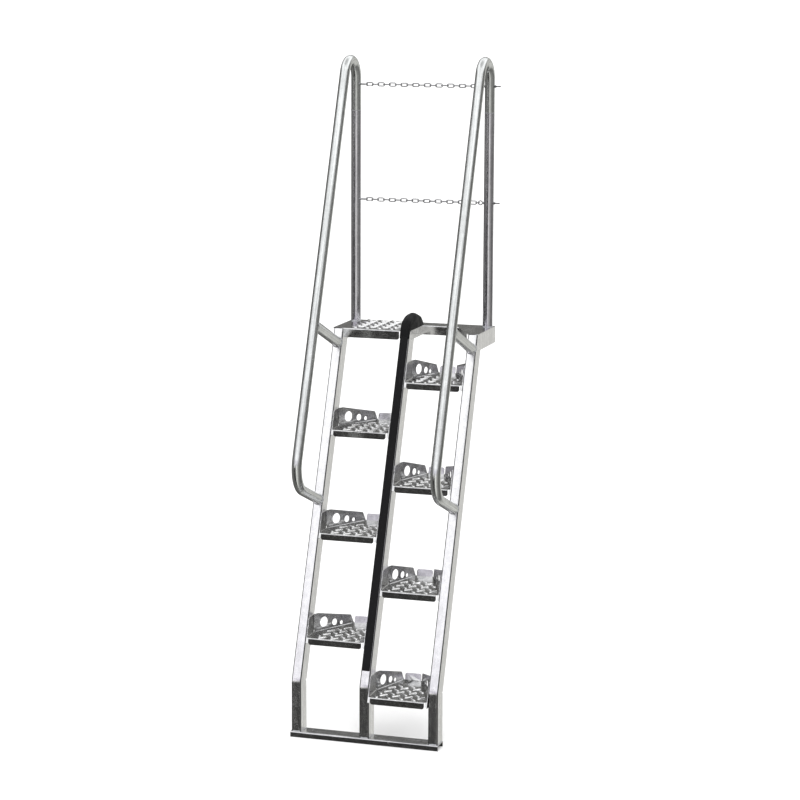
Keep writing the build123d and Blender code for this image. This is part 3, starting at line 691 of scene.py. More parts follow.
def make_stringer(name, middle_x):
    """Folded channel: front web with rounded corners, two walls, a smooth knee, an open back."""
    half_in = CHANNEL_HALF - CHANNEL_T
    outer = web_section(CHANNEL_HALF, 0.0, FOLD_R, (15, 30, 45, 60, 75, 90))
    inner = web_section(half_in, CHANNEL_T, FOLD_IN_R, (30, 60, 90))
    rear = rear_line()
    verts, faces = [], []

    def row(x, points):
        start = len(verts)
        verts.extend(at_x(middle_x + x, points))
        return start

    outer_rows = [row(x, channel_line(depth)) for x, depth in outer]
    inner_rows = [row(x, channel_line(depth)) for x, depth in inner]
    count = KNEE_STEPS + 3
    for a, b in zip(outer_rows, outer_rows[1:]):
        faces += [[a + i, a + i + 1, b + i + 1, b + i] for i in range(count - 1)]
    for a, b in zip(inner_rows, inner_rows[1:]):
        faces += [[b + i, b + i + 1, a + i + 1, a + i] for i in range(count - 1)]
    rear_out = [row(-CHANNEL_HALF, rear), row(CHANNEL_HALF, rear)]
    rear_in = [row(-half_in, rear), row(half_in, rear)]
    # walls
    for edge, back in ((outer_rows[0], rear_out[0]), (outer_rows[-1], rear_out[1]),
                       (inner_rows[0], rear_in[0]), (inner_rows[-1], rear_in[1])):
        faces.append([edge + i for i in range(count)]
                     + [back + i for i in range(len(rear))][::-1])
    # rear edges of the walls
    for a, b in zip(rear_out, rear_in):
        faces += [[a + i, a + i + 1, b + i + 1, b + i] for i in range(len(rear) - 1)]
    # end caps of the channel section
    for end, back in ((0, 0), (count - 1, len(rear) - 1)):
        faces.append([rear_out[0] + back] + [start + end for start in outer_rows]
                     + [rear_out[1] + back, rear_in[1] + back]
                     + [start + end for start in inner_rows[::-1]] + [rear_in[0] + back])
    shape = Shape()
    shape.add(verts, faces)
    item = shape.make(name + "_stringer_channel", "frame", smooth=30, bevel=0.5)
    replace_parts(item, name + "_stringer")


for name, middle_x in STRINGER_X.items():
    make_stringer(name, middle_x)


# ------------------------------------------------------------------ anti-slip bars
def staggered_bars(first_y, pitch_y, rows):
    """(x, y, angle) of bars on a staggered grid, leaning alternately each way."""
    return [(CLEAT_FIRST_X + CLEAT_PITCH_X * (i - half * 0.5),
             first_y + pitch_y * (j + half * 0.5),
             45 - 90 * half)
            for i in range(5) for j in rows for half in (0, 1)]


def side_inset(y, bend_y, taper):
    """How far a tread's side has come in at y."""
    return TREAD_T + max(0.0, y - bend_y) * math.tan(math.radians(taper))


def tread_bars():
    """The bars that fit between the tapering sides of a tread."""
    reach = 20.5 * math.sqrt(0.5) + 6
    gap = 4.5
    bars = []
    for x, y, angle in staggered_bars(first_y=46.0, pitch_y=60.0, rows=range(-1, 5)):
        low = side_inset(y + reach, INNER_BEND_Y, INNER_TAPER) + gap + reach
        high = BAY - side_inset(y + reach, OUTER_BEND_Y, OUTER_TAPER) - gap - reach
        if y >= 15 and y + reach <= 246 and low <= x <= high:
            bars.append((x, y, angle))
    return bars


def deck_bars():
    margin_x, last_y = 22, 262
    return [(x, y, angle)
            for x, y, angle in staggered_bars(first_y=34.0, pitch_y=56.0, rows=range(5))
            if margin_x <= x <= BAY - margin_x and y <= last_y]


# inset from the bar's outline, height above the sheet
CLEAT_PROFILE = [(0.0, -0.35), (0.4, 0.4), (1.2, 1.5), (2.1, 2.45), (3.2, 3.15), (4.5, 3.65),
                 (5.8, 3.9)]


def cleat(shape, middle_x, middle_y, base_z, angle, seed):
    """One pressed anti-slip bar: a crowned lozenge standing on the sheet."""
    turn = math.radians(angle)
    c, s = math.cos(turn), math.sin(turn)
    half = (CLEAT_L - CLEAT_W) / 2
    crown = 1.0 + 0.05 * (repeatable(seed) - 0.5)
    verts = []
    for inset, height in CLEAT_PROFILE:
        radius = CLEAT_W / 2 - inset
        # only the crown varies from bar to bar
        z = base_z + (height * crown if height > 2.3 else height)
        for x, y in arc((half, 0), radius, -90, 90, 8) + arc((-half, 0), radius, 90, 270, 8):
            verts.append((middle_x + x * c - y * s, middle_y + x * s + y * c, z))
    rows = len(CLEAT_PROFILE)
    shape.add(verts, loft_faces(rows, len(verts) // rows))


def make_cleats(name, bars, side, front_y, z, seed):
    shape = Shape()
    for k, (x, y, angle) in enumerate(bars):
        cleat(shape, side * (BAY_START + x), front_y + y, z, angle * side, seed + k)
    shape.make(name, "cleat", smooth=60)


# ------------------------------------------------------------------ tread folds and welds
def cove(shape, start, stop, out):
    """Inside bend radius between two sheets: a concave strip along a line.

    One sheet stands up along Z and the other runs along out.
    """
    radius, sink, steps = 2.4, -0.4, 6
    start, stop, out = (np.array(v, float) for v in (start, stop, out))
    up = np.array([0.0, 0.0, 1.0])
    section = [(sink, sink), (radius, sink)]
    for i in range(steps + 1):
        angle = math.radians(90 * i / steps)
        section.append((radius - radius * math.sin(angle), radius - radius * math.cos(angle)))
    section.append((sink, radius))
    verts = [tuple(point + out * a + up * b) for point in (start, stop) for a, b in section]
    shape.add(verts, loft_faces(2, len(section)))


# side's x across the bay, its bend, its taper, direction into the tread
TREAD_SIDES = [
    (0.0, INNER_BEND_Y, INNER_TAPER, 1),
    (BAY, OUTER_BEND_Y, OUTER_TAPER, -1),
]


def tread_coves(shape, side, top_z, x_at, bend_y, taper, inward):
    """Bend radii along the straight and the tapering part of one tread side."""
    front_y = face_y(top_z)
    into = side * inward
    x = side * (BAY_START + x_at + inward * TREAD_T)
    cove(shape, (x, front_y + 15, top_z), (x, front_y + bend_y - 6, top_z), (into, 0, 0))
    c, s = math.cos(math.radians(taper)), math.sin(math.radians(taper))
    length = (TREAD_DEPTH - bend_y) / c
    along = np.array([into * s, c, 0.0])
    square = np.array([into * c, -s, 0.0])
    corner = np.array([side * (BAY_START + x_at), front_y + bend_y, top_z]) + square * TREAD_T
    cove(shape, corner + along * 6, corner + along * (length - 5), square)


def tread_welds(shape, n, side, top_z, x_at, inward):
    """Stitch welds from tab to stringer wall: at the tab's front and the wall's rear edge."""
    # x step into the tread, y behind the stringer face, radius, seed, (z from, z to) stitches
    runs = [
        (0.4, 2.9, 1.7, n + inward, ((12, 40), (50, TAB_H - 4))),
        (-0.6, CHANNEL_RUN + 0.8, 1.9, n - inward, ((-4, 22), (38, 66))),
    ]
    for step, behind, radius, seed, stitches in runs:
        x = side * (BAY_START + x_at + inward * step)
        for low, high in stitches:
            ends = [(x, face_y(z) + behind, z) for z in (top_z + low, top_z + high)]
            bead(shape, ends, radius, seed=seed)


def make_tread_details(n):
    """Odd treads lie in the right bay, even ones in the left."""
    side = 1 if n % 2 else -1
    top_z = n * RISE
    make_cleats("tread_%d_cleats" % n, tread_bars(), side, face_y(top_z), top_z, seed=n * 31)
    shape = Shape()
    for x_at, bend_y, taper, inward in TREAD_SIDES:
        tread_coves(shape, side, top_z, x_at, bend_y, taper, inward)
        tread_welds(shape, n, side, top_z, x_at, inward)
    shape.make("tread_%d_folds_and_welds" % n, "tread", smooth=50)


for n in range(1, RISES):
    make_tread_details(n)

DECK_FRONT = face_y(PLATFORM_H)
make_cleats("platform_cleats", deck_bars(), -1, DECK_FRONT, PLATFORM_H, seed=400)

# ------------------------------------------------------------------ centre guard
STRIP_HALF, STRIP_T = 17.25, 9.0
STRIP_FOOT_Z = 322.5    # full section from here up
# z, share of the full section: the rounded foot
STRIP_FOOT = [(318.0, 0.55), (318.6, 0.78), (320.0, 0.93), (STRIP_FOOT_Z, 1.0)]

CAP_HALF = 21.5
# y behind the deck's front edge, z above the deck: the crown line, from front to back
CAP_CURVE = [(-19, -26), (-13, 8), (3, 37), (38, 56), (92, 65), (148, 56), (190, 37),
             (208, 12), (210, 0)]
# x of the lengthwise rows, from the left edge to the middle
CAP_ROWS = [-21.5, -21.3, -20.6, -19.2, -17.2, -14.5, -11.5, -9.0, -7.0, -4.5, 0.0]


def smooth_curve(points, count):
    """Natural cubic through the points, spaced by chord length."""
    points = np.array(points, float)
    knots = distances(points)
    n = len(points)
    gap = np.diff(knots)
    matrix = np.eye(n)
    right_side = np.zeros_like(points)
    for i in range(1, n - 1):
        matrix[i, i - 1] = gap[i - 1]
        matrix[i, i] = 2 * (gap[i - 1] + gap[i])
        matrix[i, i + 1] = gap[i]
        right_side[i] = 6 * ((points[i + 1] - points[i]) / gap[i]
                             - (points[i] - points[i - 1]) / gap[i - 1])
    bend = np.linalg.solve(matrix, right_side)
    curve = []
    for at in np.linspace(0, knots[-1], count):
        i = min(int(np.searchsorted(knots, at, side="right")) - 1, n - 2)
        h = gap[i]
        a, b = knots[i + 1] - at, at - knots[i]
        curve.append(bend[i] * a ** 3 / (6 * h) + bend[i + 1] * b ** 3 / (6 * h)
                     + (points[i] / h - bend[i] * h / 6) * a
                     + (points[i + 1] / h - bend[i + 1] * h / 6) * b)
    return np.array(curve)


def add_guard_strip(shape):
    """Flat moulding up the centre stringer: rounded long edges, crowned face, rounded foot."""
    shoulder = STRIP_T - 4.0
    section = [(-STRIP_HALF, 0.0), (-STRIP_HALF, shoulder)]
    for angle in map(math.radians, (22, 45, 68, 90)):
        section.append((-STRIP_HALF + 3.4 - 3.4 * math.cos(angle),
                        shoulder + 3.2 * math.sin(angle)))
    section += [(-6.0, STRIP_T - 0.25), (0.0, STRIP_T)]
    section += [(-x, height) for x, height in section[::-1][1:]]
    rise = PLATFORM_H + 3 - STRIP_FOOT_Z
    stations = STRIP_FOOT + [(STRIP_FOOT_Z + rise * i / 60, 1.0) for i in range(1, 61)]
    verts = []
    for z, share in stations:
        for x, height in section:
            verts.append((x * (0.94 + 0.06 * share),
                          face_y(z) - height * share * SLOPE_SIN,
                          z + height * share * SLOPE_COS))
    shape.add(verts, loft_faces(len(stations), len(section)))


def add_guard_cap(shape):
    """Pillow-shaped moulding arching back over the platform, with a low spine on its crown."""
    curve = smooth_curve([(DECK_FRONT + y, PLATFORM_H + z) for y, z in CAP_CURVE], 64)
    tangent = np.gradient(curve, axis=0)
    tangent /= np.linalg.norm(tangent, axis=1)[:, None]
    normals = np.stack([-tangent[:, 1], tangent[:, 0]], 1)
    shares = np.linspace(0, 1, len(curve))
    under_z = PLATFORM_H - 34
    under = [(DECK_FRONT + 205, PLATFORM_H - 0.3), (DECK_FRONT, PLATFORM_H - 0.3),
             (face_y(under_z), under_z)]
    row_x = CAP_ROWS + [-x for x in CAP_ROWS[::-1][1:]]
    verts = []
    for x in row_x:
        across = abs(x) / CAP_HALF
        sink = 8.5 * across ** 2.4 + 2.6 * max(0.0, (across - 0.86) / 0.14) ** 2
        spine = 2.6 * max(0.0, 1 - (abs(x) / 10.5) ** 2)
        for point, normal, share in zip(curve, normals, shares):
            # the sides sink less at the two ends; the spine fades in and out along the crown
            edge = min(1.0, 0.30 + 4.5 * share, 0.35 + 6.0 * (1 - share))
            fade = math.sin(math.pi * min(max((share - 0.22) / 0.6, 0.0), 1.0))
            lift = spine * max(0.0, fade) ** 0.5
            y, z = point + normal * (lift - sink * edge)
            verts.append((x, y, z))
        verts += at_x(x, under)
    count = len(curve) + len(under)
    last = (len(row_x) - 1) * count
    faces = loft_faces(len(row_x), count, caps=False)
    faces.append(list(range(count)))
    faces.append([last + i for i in range(count)][::-1])
    shape.add(verts, faces)


guard = Shape()
add_guard_strip(guard)
add_guard_cap(guard)
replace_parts(guard.make("guard_strip_and_cap", "rubber", smooth=48), "center_guard")


# ------------------------------------------------------------------ frame welds
def make_frame_welds():
    shape = Shape()
    foot_z = BASE_H + 0.7
    top_z = DECK_UNDER_Z - 0.7
    top_y = face_y(top_z)
    for i, middle_x in enumerate(STRINGER_X.values()):
        wall_x = [middle_x + side * (CHANNEL_HALF + 0.5) for side in (-1, 1)]
        # legs on the floor channel: across the front, then along both walls
        bead(shape, [(middle_x - CHANNEL_HALF + 5, -0.6, foot_z),
                     (middle_x + CHANNEL_HALF - 5, -0.6, foot_z)], 2.0, seed=i)
        for x in wall_x:
            bead(shape, [(x, 6, foot_z), (x, 62, foot_z)], 2.0, seed=i + 3)
        # stringer tops under the platform, on the walls inside the stair's width
        for x in wall_x:
            if abs(x) < WIDTH / 2:
                bead(shape, [(x, top_y + 12, top_z), (x, top_y + 66, top_z)], 2.0, seed=i + 7)
    # along the platform's underside at the left and right edges
    edge_z = DECK_UNDER_Z - 0.8
    for side in (-1, 1):
        x = side * (WIDTH / 2 - 0.6)
        bead(shape, [(x, 600, edge_z), (x, 842, edge_z)], 1.8, seed=20 + side)
    shape.make("frame_welds", "weld", smooth=60)


make_frame_welds()


# ------------------------------------------------------------------ chain links
def upright_x(n):
    """Middle of the nth link that stands upright; the nth flat one is a pitch to its left."""
    return FACE_X0 - 2 * PITCH * n


def flat_x(n):
    return upright_x(n) - PITCH


HOOK_X = upright_x(9)
PIVOT_X = HOOK_X + LEG + 0.4    # rivet of the snap hook's gate

# centre line of one link in its own plane
LINK_PATH = (arc((LEG, 0), CROWN_R, -90, 90, 14)
             + straight((LEG, CROWN_R), (-LEG, CROWN_R), 6)[1:-1]
             + arc((-LEG, 0), CROWN_R, 90, 270, 14)
             + straight((-LEG, -CROWN_R), (LEG, -CROWN_R), 12)[1:-1])

# piece, its upright links, its flat links
CHAIN_PIECES = [
    ("a", (0, 1, 2), (0, 1)),
    ("b", (3, 4, 5), (2, 3, 4)),
    ("c", (6, 7, 8), (5, 6, 7)),
]


def link(shape, x, z, flat, index):
    """One link with a bulge in the middle of one side, on alternate sides along the chain."""
    flip = -1 if index % 2 else 1
    path, radii = [], []
    for a, b in LINK_PATH:
        path.append((x + a, POST_Y + b * flip, z) if flat else (x + a, POST_Y, z + b * flip))
        bulge = math.exp(-(a / 1.7) ** 2) if b < -CROWN_R + 0.01 else 0.0
        radii.append(WIRE_R * (1 + 0.055 * bulge))
    sweep(shape, path, radii, sides=16, closed=True)


def end_ring(shape, z):
    """Level ring joining the first link to the eyebolt."""
    left = FACE_X0 + LEG + CROWN_R - WIRE_R - RING_WIRE / 2 - 0.15
    right = EYE_X - EYE_R + EYE_WIRE / 2 + RING_WIRE / 2 + 0.15
    middle, radius = (left + right) / 2, (right - left) / 2
    path = [(middle + radius * math.cos(a), POST_Y + radius * math.sin(a), z)
            for a in circle(40)]
    sweep(shape, path, RING_WIRE / 2, sides=16, closed=True)


def make_chain(tag, z):
    for letter, upright, flat in CHAIN_PIECES:
        shape = Shape()
        for i in upright:
            link(shape, upright_x(i), z, False, i)
        for i in flat:
            link(shape, flat_x(i), z, True, i)
        if letter == "a":
            end_ring(shape, z)
        item = shape.make(tag + "_chain_links_" + letter, "hardware",
                          body=tag + "_chain_" + letter, smooth=60)
        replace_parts(item, tag + "_chain_run_" + letter)
    shape = Shape()
    link(shape, flat_x(8), z, True, 0)
    item = shape.make(tag + "_last_link", "hardware", body=tag + "_hook", smooth=60)
    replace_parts(item, tag + "_chain_end_link")


# ------------------------------------------------------------------ snap hooks
# y from the post axis, radius
RIVET_PROFILE = [(-3.05, 0.55), (-2.95, 1.15), (-2.75, 1.45), (-2.7, 1.0),
                 (2.7, 1.0), (2.75, 1.45), (2.95, 1.15), (3.05, 0.55)]
GATE_HALF_T = 1.35


def make_hook(tag, z):
    """Link-shaped body, its lower side open for the gate, with fork cheeks and a rivet."""
    gate_z = z - CROWN_R
    shape = Shape()
    path = (arc((HOOK_X + LEG, z), CROWN_R, -78, 90, 16)
            + straight((HOOK_X + LEG, z + CROWN_R), (HOOK_X - LEG, z + CROWN_R), 6)[1:-1]
            + arc((HOOK_X - LEG, z), CROWN_R, 90, 270, 16)
            + [(HOOK_X - 5.4, gate_z), (HOOK_X - 4.9, gate_z)])
    radii = [WIRE_R] * len(path)
    radii[0] = WIRE_R * 0.85
    radii[-1] = WIRE_R * 0.86
    sweep(shape, [(px, POST_Y, pz) for px, pz in path], radii, sides=18)
    outline = ([(PIVOT_X + 4.6, gate_z - 2.0), (PIVOT_X + 4.6, gate_z + 2.0),
                (PIVOT_X, gate_z + 2.4)]
               + arc((PIVOT_X, gate_z), 2.5, 105, 255, 10) + [(PIVOT_X, gate_z - 2.4)])
    for cheek_y in (POST_Y - 2.7, POST_Y + 1.5):
        verts = [(px, y, pz) for y in (cheek_y, cheek_y + 1.2) for px, pz in outline]
        shape.add(verts, loft_faces(2, len(outline)))
    sides = 16
    verts = [(PIVOT_X + radius * math.cos(a), POST_Y + y, gate_z + radius * math.sin(a))
             for y, radius in RIVET_PROFILE for a in circle(sides)]
    shape.add(verts, loft_faces(len(RIVET_PROFILE), sides))
    item = shape.make(tag + "_hook_body", "hardware", body=tag + "_hook", smooth=45)
    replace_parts(item, tag + "_snap_hook")


def add_gate_eye(shape, gate_z):
    """Flat ring round the rivet."""
    k = 24
    verts = [(PIVOT_X + radius * math.cos(a), POST_Y + y, gate_z + radius * math.sin(a))
             for y in (-GATE_HALF_T, GATE_HALF_T) for radius in (2.0, 1.06) for a in circle(k)]
    faces = []
    for j in range(k):
        l = (j + 1) % k
        faces += [[j, l, 2 * k + l, 2 * k + j], [k + l, k + j, 3 * k + j, 3 * k + l],
                  [l, j, k + j, k + l], [2 * k + j, 2 * k + l, 3 * k + l, 3 * k + j]]
    shape.add(verts, faces)


def make_gate(tag, z):
    """Thumb bar with a pivot eye, and a block joining the two."""
    gate_z = z - CROWN_R
    shape = Shape()
    tip = HOOK_X - 4.5
    bar = [(tip, 1.15), (tip + 0.35, 1.5), (tip + 1.0, 1.7)]    # x, radius
    bar += [(tip + 1.0 + (PIVOT_X - 4.4 - tip - 1.0) * i / 8,
             1.7 + 0.12 * math.sin(math.pi * i / 8)) for i in range(1, 9)]
    sweep(shape, [(x, POST_Y, gate_z) for x, _ in bar], [radius for _, radius in bar], sides=18)
    add_gate_eye(shape, gate_z)
    corners = ((-GATE_HALF_T, -1.5), (GATE_HALF_T, -1.5), (GATE_HALF_T, 1.5), (-GATE_HALF_T, 1.5))
    verts = [(x, POST_Y + y, gate_z + rise)
             for x in (PIVOT_X - 5.6, PIVOT_X - 1.3) for y, rise in corners]
    shape.add(verts, [[0, 1, 2, 3], [7, 6, 5, 4]] + loft_faces(2, 4, caps=False))
    item = shape.make(tag + "_gate_bar", "hardware", body=tag + "_gate", smooth=45)
    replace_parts(item, tag + "_hook_gate")


# ------------------------------------------------------------------ chain fixings
def hex_radius(angle):
    """Radius of a hexagon 10 mm across its flats."""
    return 5.0 / math.cos((angle + math.pi / 6) % (math.pi / 3) - math.pi / 6)


def turned(shape, profile, z, sides, closed=False):
    """Turn an (x, radius) profile about a line along X; a radius of None is the hexagon."""
    verts = []
    for x, radius in profile:
        for angle in circle(sides):
            r = hex_radius(angle) if radius is None else radius
            verts.append((x, POST_Y + r * math.cos(angle), z + r * math.sin(angle)))
    shape.add(verts, loft_faces(len(profile), sides, closed))


def eyebolt_profile():
    """(x, radius) of the shank, its collar against the post and the grooved thread beyond."""
    profile = [
        (EYE_X + EYE_R - 1.2, 2.2), (EYE_X + EYE_R + 1.4, 2.7), (POST_IN - 3.7, 3.0),
        (POST_IN - 3.65, 4.9), (POST_IN - 3.1, 5.45), (POST_IN - 0.6, 5.45),
        (POST_IN - 0.15, 5.0), (POST_IN - 0.1, 3.0), (POST_IN + 2, 3.0),
    ]
    x = POST_OUT - 8.0
    profile.append((x - 0.4, 3.0))
    while x < 360.3:
        profile += [(x, 3.0), (x + 0.3, 2.62), (x + 0.6, 2.62), (x + 0.9, 3.0)]
        x += 1.1
    return profile + [(361.0, 2.7), (361.5, 2.2)]


def make_eyebolt(tag, z):
    """Formed eye, collar and a threaded end through the right post."""
    shape = Shape()
    eye = [(EYE_X + EYE_R * math.cos(a), POST_Y, z + EYE_R * math.sin(a)) for a in circle(48)]
    sweep(shape, eye, EYE_WIRE / 2, sides=18, closed=True)
    turned(shape, eyebolt_profile(), z, sides=24)
    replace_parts(shape.make(tag + "_eyebolt_body", "hardware", smooth=30),
                tag + "_chain_eyebolt")


def make_staple(tag, z):
    """Fixed eye on the left post: a bent bar with both ends on the tube."""
    shape = Shape()
    far = HOOK_X - LEG - CROWN_R + WIRE_R + STAPLE_WIRE / 2 + 0.2
    bend_x = far - STAPLE_R
    skin = -RAIL_X + math.sqrt(TUBE_R ** 2 - STAPLE_R * STAPLE_R)
    front, back = POST_Y - STAPLE_R, POST_Y + STAPLE_R
    path = ([(skin - 0.6, front)] + straight((skin, front), (bend_x, front), 8)[1:]
            + arc((bend_x, POST_Y), STAPLE_R, -82, 86, 21)
            + straight((bend_x, back), (skin, back), 8) + [(skin - 0.6, back)])
    sweep(shape, [(x, y, z) for x, y in path], STAPLE_WIRE / 2, sides=20)
    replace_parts(shape.make(tag + "_staple_eye", "hardware", smooth=60),
                tag + "_chain_fixed_eye")


def make_staple_welds(tag, z):
    """A ring round each end of the staple, lying on the curved post."""
    shape = Shape()
    ring_r = STAPLE_WIRE / 2 + 0.5
    for end_y in (-STAPLE_R, STAPLE_R):
        path = []
        for angle in circle(60):
            y = end_y + ring_r * math.cos(angle)
            x = -RAIL_X + math.sqrt(max((TUBE_R + 0.4) ** 2 - y * y, 0.0))
            path.append((x, POST_Y + y, z + ring_r * math.sin(angle)))
        bead(shape, path, 1.1, closed=True, seed=3 + end_y, ripple=1.6)
    shape.make(tag + "_staple_welds", "weld", smooth=60)


for tag, z in CHAIN_Z.items():
    make_chain(tag, z)
    make_hook(tag, z)
    make_gate(tag, z)
    make_eyebolt(tag, z)
    make_staple(tag, z)
    make_staple_welds(tag, z)

# x from the inner face, radius (None is the hexagon): closed sections round the bolt
WASHER_X = POST_OUT + 0.05
WASHER_PROFILE = [(0.0, 3.15), (0.0, 5.8), (0.2, 6.0), (1.2, 6.0), (1.4, 5.8), (1.4, 3.15)]
NUT_X = WASHER_X + 1.45
NUT_PROFILE = [(0.0, 3.1), (0.0, 4.75), (0.45, None), (4.55, None), (5.0, 4.75), (5.0, 3.1)]


def make_nuts():
    """Hex nuts and washers on the outer side of the right post, with broken edges."""
    shape = Shape()
    for z in CHAIN_Z.values():
        for start, profile, sides in ((WASHER_X, WASHER_PROFILE, 36), (NUT_X, NUT_PROFILE, 48)):
            placed = [(start + x, radius) for x, radius in profile]
            turned(shape, placed, z, sides, closed=True)
    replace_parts(shape.make("eyebolt_nuts_and_washers", "hardware", smooth=25), "eyebolt_nuts")


make_nuts()


# ------------------------------------------------------------------ finish of the CAD nodes that stay
def dress(node, finish, bevel):
    item = nodes[node]
    item.data.materials.clear()
    item.data.materials.append(MATERIALS[finish])
    if bevel:
        weld = item.modifiers.new("weld", "WELD")
        weld.merge_threshold = 0.00001
        break_edges(item, bevel, angle=35.0, harden=False).miter_outer = "MITER_ARC"


for n in range(1, RISES):
    dress("tread_%d" % n, "tread", bevel=0.35)
dress("platform_deck", "deck", bevel=0.4)
for name in ("left_side_plate", "right_side_plate"):
    dress(name, "frame", bevel=0.4)
dress("base_channel", "base", bevel=0.5)
# any other visible node is hardware
own_names = [material.name for material in MATERIALS.values()]
for name in nodes:
    if nodes[name].hide_render:
        continue
    materials = nodes[name].data.materials
    if not materials or materials[0].name not in own_names:
        dress(name, "hardware", bevel=0.0)

# ------------------------------------------------------------------ studio
# degrees from -Y towards +X, brightness of the walls there
ROOM_STOPS = [
    (-180, 0.24), (-162, 0.18), (-140, 0.13), (-100, 0.17), (-60, 0.19), (-35, 0.06),
    (-12, 0.04), (0, 0.12), (8, 0.90), (25, 0.95), (36, 0.46), (60, 0.34), (92, 0.20),
    (125, 0.18), (147, 0.66), (172, 0.66), (180, 0.24),
]
WINDOW_AZIMUTH, WINDOW_SPREAD = -27.0, 15.0     # degrees
CEILING_LIFT = 0.34     # how much lower the ceiling starts in front
FLOOR_UP = -0.2         # elevation sine at which the floor's reflection is read
WARM_WHITE = (1.0, 0.995, 0.955, 1)


def ahead_of_stair(graph, azimuth):
    """1 straight in front of the stair, falling to 0 at its sides and behind."""
    cosine = graph.calc("COSINE", graph.times(azimuth, math.pi / 180))
    return graph.calc("MAXIMUM", cosine, 0.0)


def room_brightness(graph, azimuth, up):
    """Reflected brightness by azimuth in degrees and up, the sine of the elevation."""
    turn = graph.ramp(azimuth, start=-180, stop=180, smooth=False)
    walls = graph.node("ValToRGB", {0: turn})
    walls.color_ramp.interpolation = "EASE"
    elements = walls.color_ramp.elements
    while len(elements) < len(ROOM_STOPS):
        elements.new(0.5)
    for element, (degrees, value) in zip(elements, ROOM_STOPS):
        element.position = (degrees + 180) / 360
        element.color = (value, value, value, 1)
    # the bright ceiling starts lower in front of the stair than behind it
    ahead = ahead_of_stair(graph, azimuth)
    lift = graph.times(graph.times(ahead, ahead), CEILING_LIFT)
    ceiling = graph.ramp(graph.calc("ADD", up, lift), start=0.38, stop=0.58)
    # and is darker straight overhead
    sky = graph.ramp(up, start=0.3, stop=0.5, low=0.82, high=1.32)
    sky = graph.times(sky, graph.ramp(up, start=0.86, stop=0.97, low=1.0, high=0.55))
    # a soft window in front and to the left, dark below the horizon
    away = graph.times(graph.calc("ADD", azimuth, -WINDOW_AZIMUTH), 1 / WINDOW_SPREAD)
    glow = graph.calc("EXPONENT", graph.times(graph.times(away, away), -1.0))
    glow = graph.times(glow, graph.ramp(up, start=-0.14, stop=-0.07, low=0.0, high=1.25))
    return graph.mix(graph.calc("ADD", walls.outputs[0], glow), sky, amount=ceiling)


def azimuth_and_up(graph, direction):
    """Degrees from -Y towards +X, and the Z part of the direction."""
    parts = graph.node("SeparateXYZ", {0: direction}).outputs
    angle = graph.calc("ARCTAN2", parts[0], graph.times(parts[1], -1.0))
    return graph.times(angle, 180 / math.pi), parts[2]


def make_world():
    """Metal reflects the room's shades; all else is lit by an even white."""
    world = bpy.data.worlds.new("studio")
    scene.world = world
    graph = Graph(world)
    direction = graph.node("TexCoord").outputs["Generated"]
    azimuth, up = azimuth_and_up(graph, direction)
    brightness = room_brightness(graph, azimuth, up)
    violet = graph.times(graph.ramp(up, start=0.0, stop=0.2), ahead_of_stair(graph, azimuth))
    tint = graph.mix_colour(WARM_WHITE, (0.93, 0.90, 1.0, 1), amount=violet)
    tint = graph.mix_colour(tint, (0.985, 0.99, 1.0, 1),
                            amount=graph.ramp(up, start=0.30, stop=0.50))
    even = graph.ramp(up, start=-0.1, stop=0.8, low=1.0, high=1.3)
    glossy = graph.node("Background", {0: tint, 1: brightness})
    plain = graph.node("Background", {0: (1, 1, 1, 1), 1: even})
    graph.split_by_ray(plain, glossy, "OutputWorld")


def floor_material():
    """Pale floor that metal sees in the studio's own shades."""
    material = bpy.data.materials.new("pale_floor")
    graph = Graph(material)
    geometry = graph.node("NewGeometry").outputs
    azimuth, _ = azimuth_and_up(graph, graph.scale(geometry["Incoming"], -1.0))
    level = graph.node("Value").outputs[0]
    level.default_value = FLOOR_UP
    brightness = room_brightness(graph, azimuth, level)
    glossy = graph.node("Emission", {0: WARM_WHITE, 1: brightness})
    fine = graph.noise(geometry["Position"], scale=40.0, detail=4.0, rough=0.6)
    pale = graph.mix_colour((0.93, 0.93, 0.93, 1), (0.95, 0.95, 0.95, 1), amount=fine)
    plain = graph.node("BsdfDiffuse", {0: pale})
    graph.split_by_ray(plain, glossy, "OutputMaterial")
    return material


def make_floor():
    """One large disc just under the stair, in rings of growing radius (metres)."""
    radii = [1.5, 3.0, 6.0, 14.0, 40.0, 300.0]
    sides = 96
    verts = [(0, 0, 0)]
    for radius in radii:
        verts += [(radius * math.cos(a), radius * math.sin(a), 0) for a in circle(sides)]
    faces = [[0, 1 + j, 1 + (j + 1) % sides] for j in range(sides)]
    for i in range(len(radii) - 1):
        a = 1 + i * sides
        b = a + sides
        faces += [[a + j, b + j, b + (j + 1) % sides, a + (j + 1) % sides]
                  for j in range(sides)]
    mesh = bpy.data.meshes.new("studio_floor")
    mesh.from_pydata(verts, [], faces)
    floor = bpy.data.objects.new("studio_floor", mesh)
    floor.location.z = -0.0002
    scene.collection.objects.link(floor)
    mesh.materials.append(floor_material())


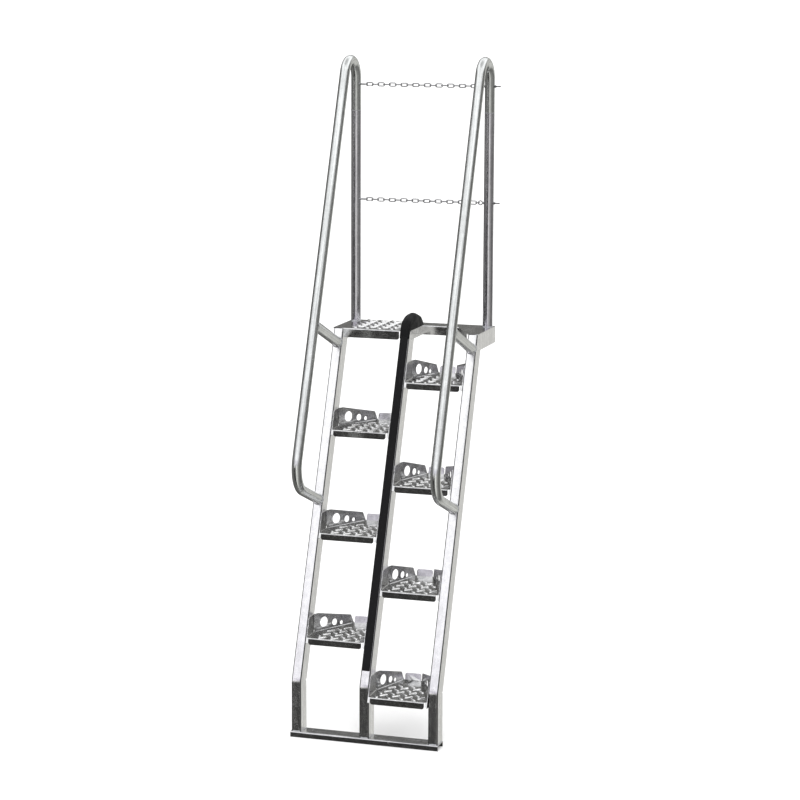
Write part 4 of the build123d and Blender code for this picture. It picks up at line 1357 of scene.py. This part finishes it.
def place_light(light, direction):
    """Link a light aimed along direction and hidden from reflections."""
    item = bpy.data.objects.new(light.name, light)
    item.rotation_mode = "QUATERNION"
    item.rotation_quaternion = direction.to_track_quat("-Z", "Y")
    item.visible_glossy = False
    scene.collection.objects.link(item)
    return item


def make_lights():
    sun = bpy.data.lights.new("soft_sun", "SUN")
    sun.energy = 0.5
    sun.angle = math.radians(35)
    place_light(sun, Vector((-0.25, 0.55, -1.0)))

    place, target = Vector((1.2, -4.2, 3.9)), Vector((0, 0.4, 1.3))
    panel = bpy.data.lights.new("front_panel", "AREA")
    panel.shape = "RECTANGLE"
    panel.size = 2.4
    panel.size_y = 2.0
    panel.energy = 60
    item = place_light(panel, target - place)
    item.location = place
    item.visible_camera = False


make_world()
make_floor()
make_lights()

# ------------------------------------------------------------------ camera
CAMERA_PLACE = (3.25751, -9.81883, 3.32623)     # metres
CAMERA_PAN = math.radians(17.509)               # from +Y towards -X
CAMERA_DIP = math.radians(9.944)                # below level
CAMERA_ROLL = math.radians(0.223)
CAMERA_LENS = 111.820635                        # millimetres, on a 36 mm sensor


def make_camera():
    forward = Vector((-math.sin(CAMERA_PAN) * math.cos(CAMERA_DIP),
                      math.cos(CAMERA_PAN) * math.cos(CAMERA_DIP),
                      -math.sin(CAMERA_DIP)))
    level = Vector((math.cos(CAMERA_PAN), math.sin(CAMERA_PAN), 0))
    above = level.cross(forward)
    right = level * math.cos(CAMERA_ROLL) + above * math.sin(CAMERA_ROLL)
    up = -level * math.sin(CAMERA_ROLL) + above * math.cos(CAMERA_ROLL)
    lens = bpy.data.cameras.new("camera")
    lens.sensor_width = 36.0
    lens.sensor_fit = "HORIZONTAL"
    lens.lens = CAMERA_LENS
    lens.clip_start = 0.1
    lens.clip_end = 1000.0
    camera = bpy.data.objects.new("camera", lens)
    rows = [(right[i], up[i], -forward[i], CAMERA_PLACE[i]) for i in range(3)]
    camera.matrix_world = Matrix(rows + [(0, 0, 0, 1)])
    scene.collection.objects.link(camera)
    scene.camera = camera


make_camera()
scene.view_settings.view_transform = "Standard"
scene.view_settings.look = "None"
scene.view_settings.exposure = 0.0
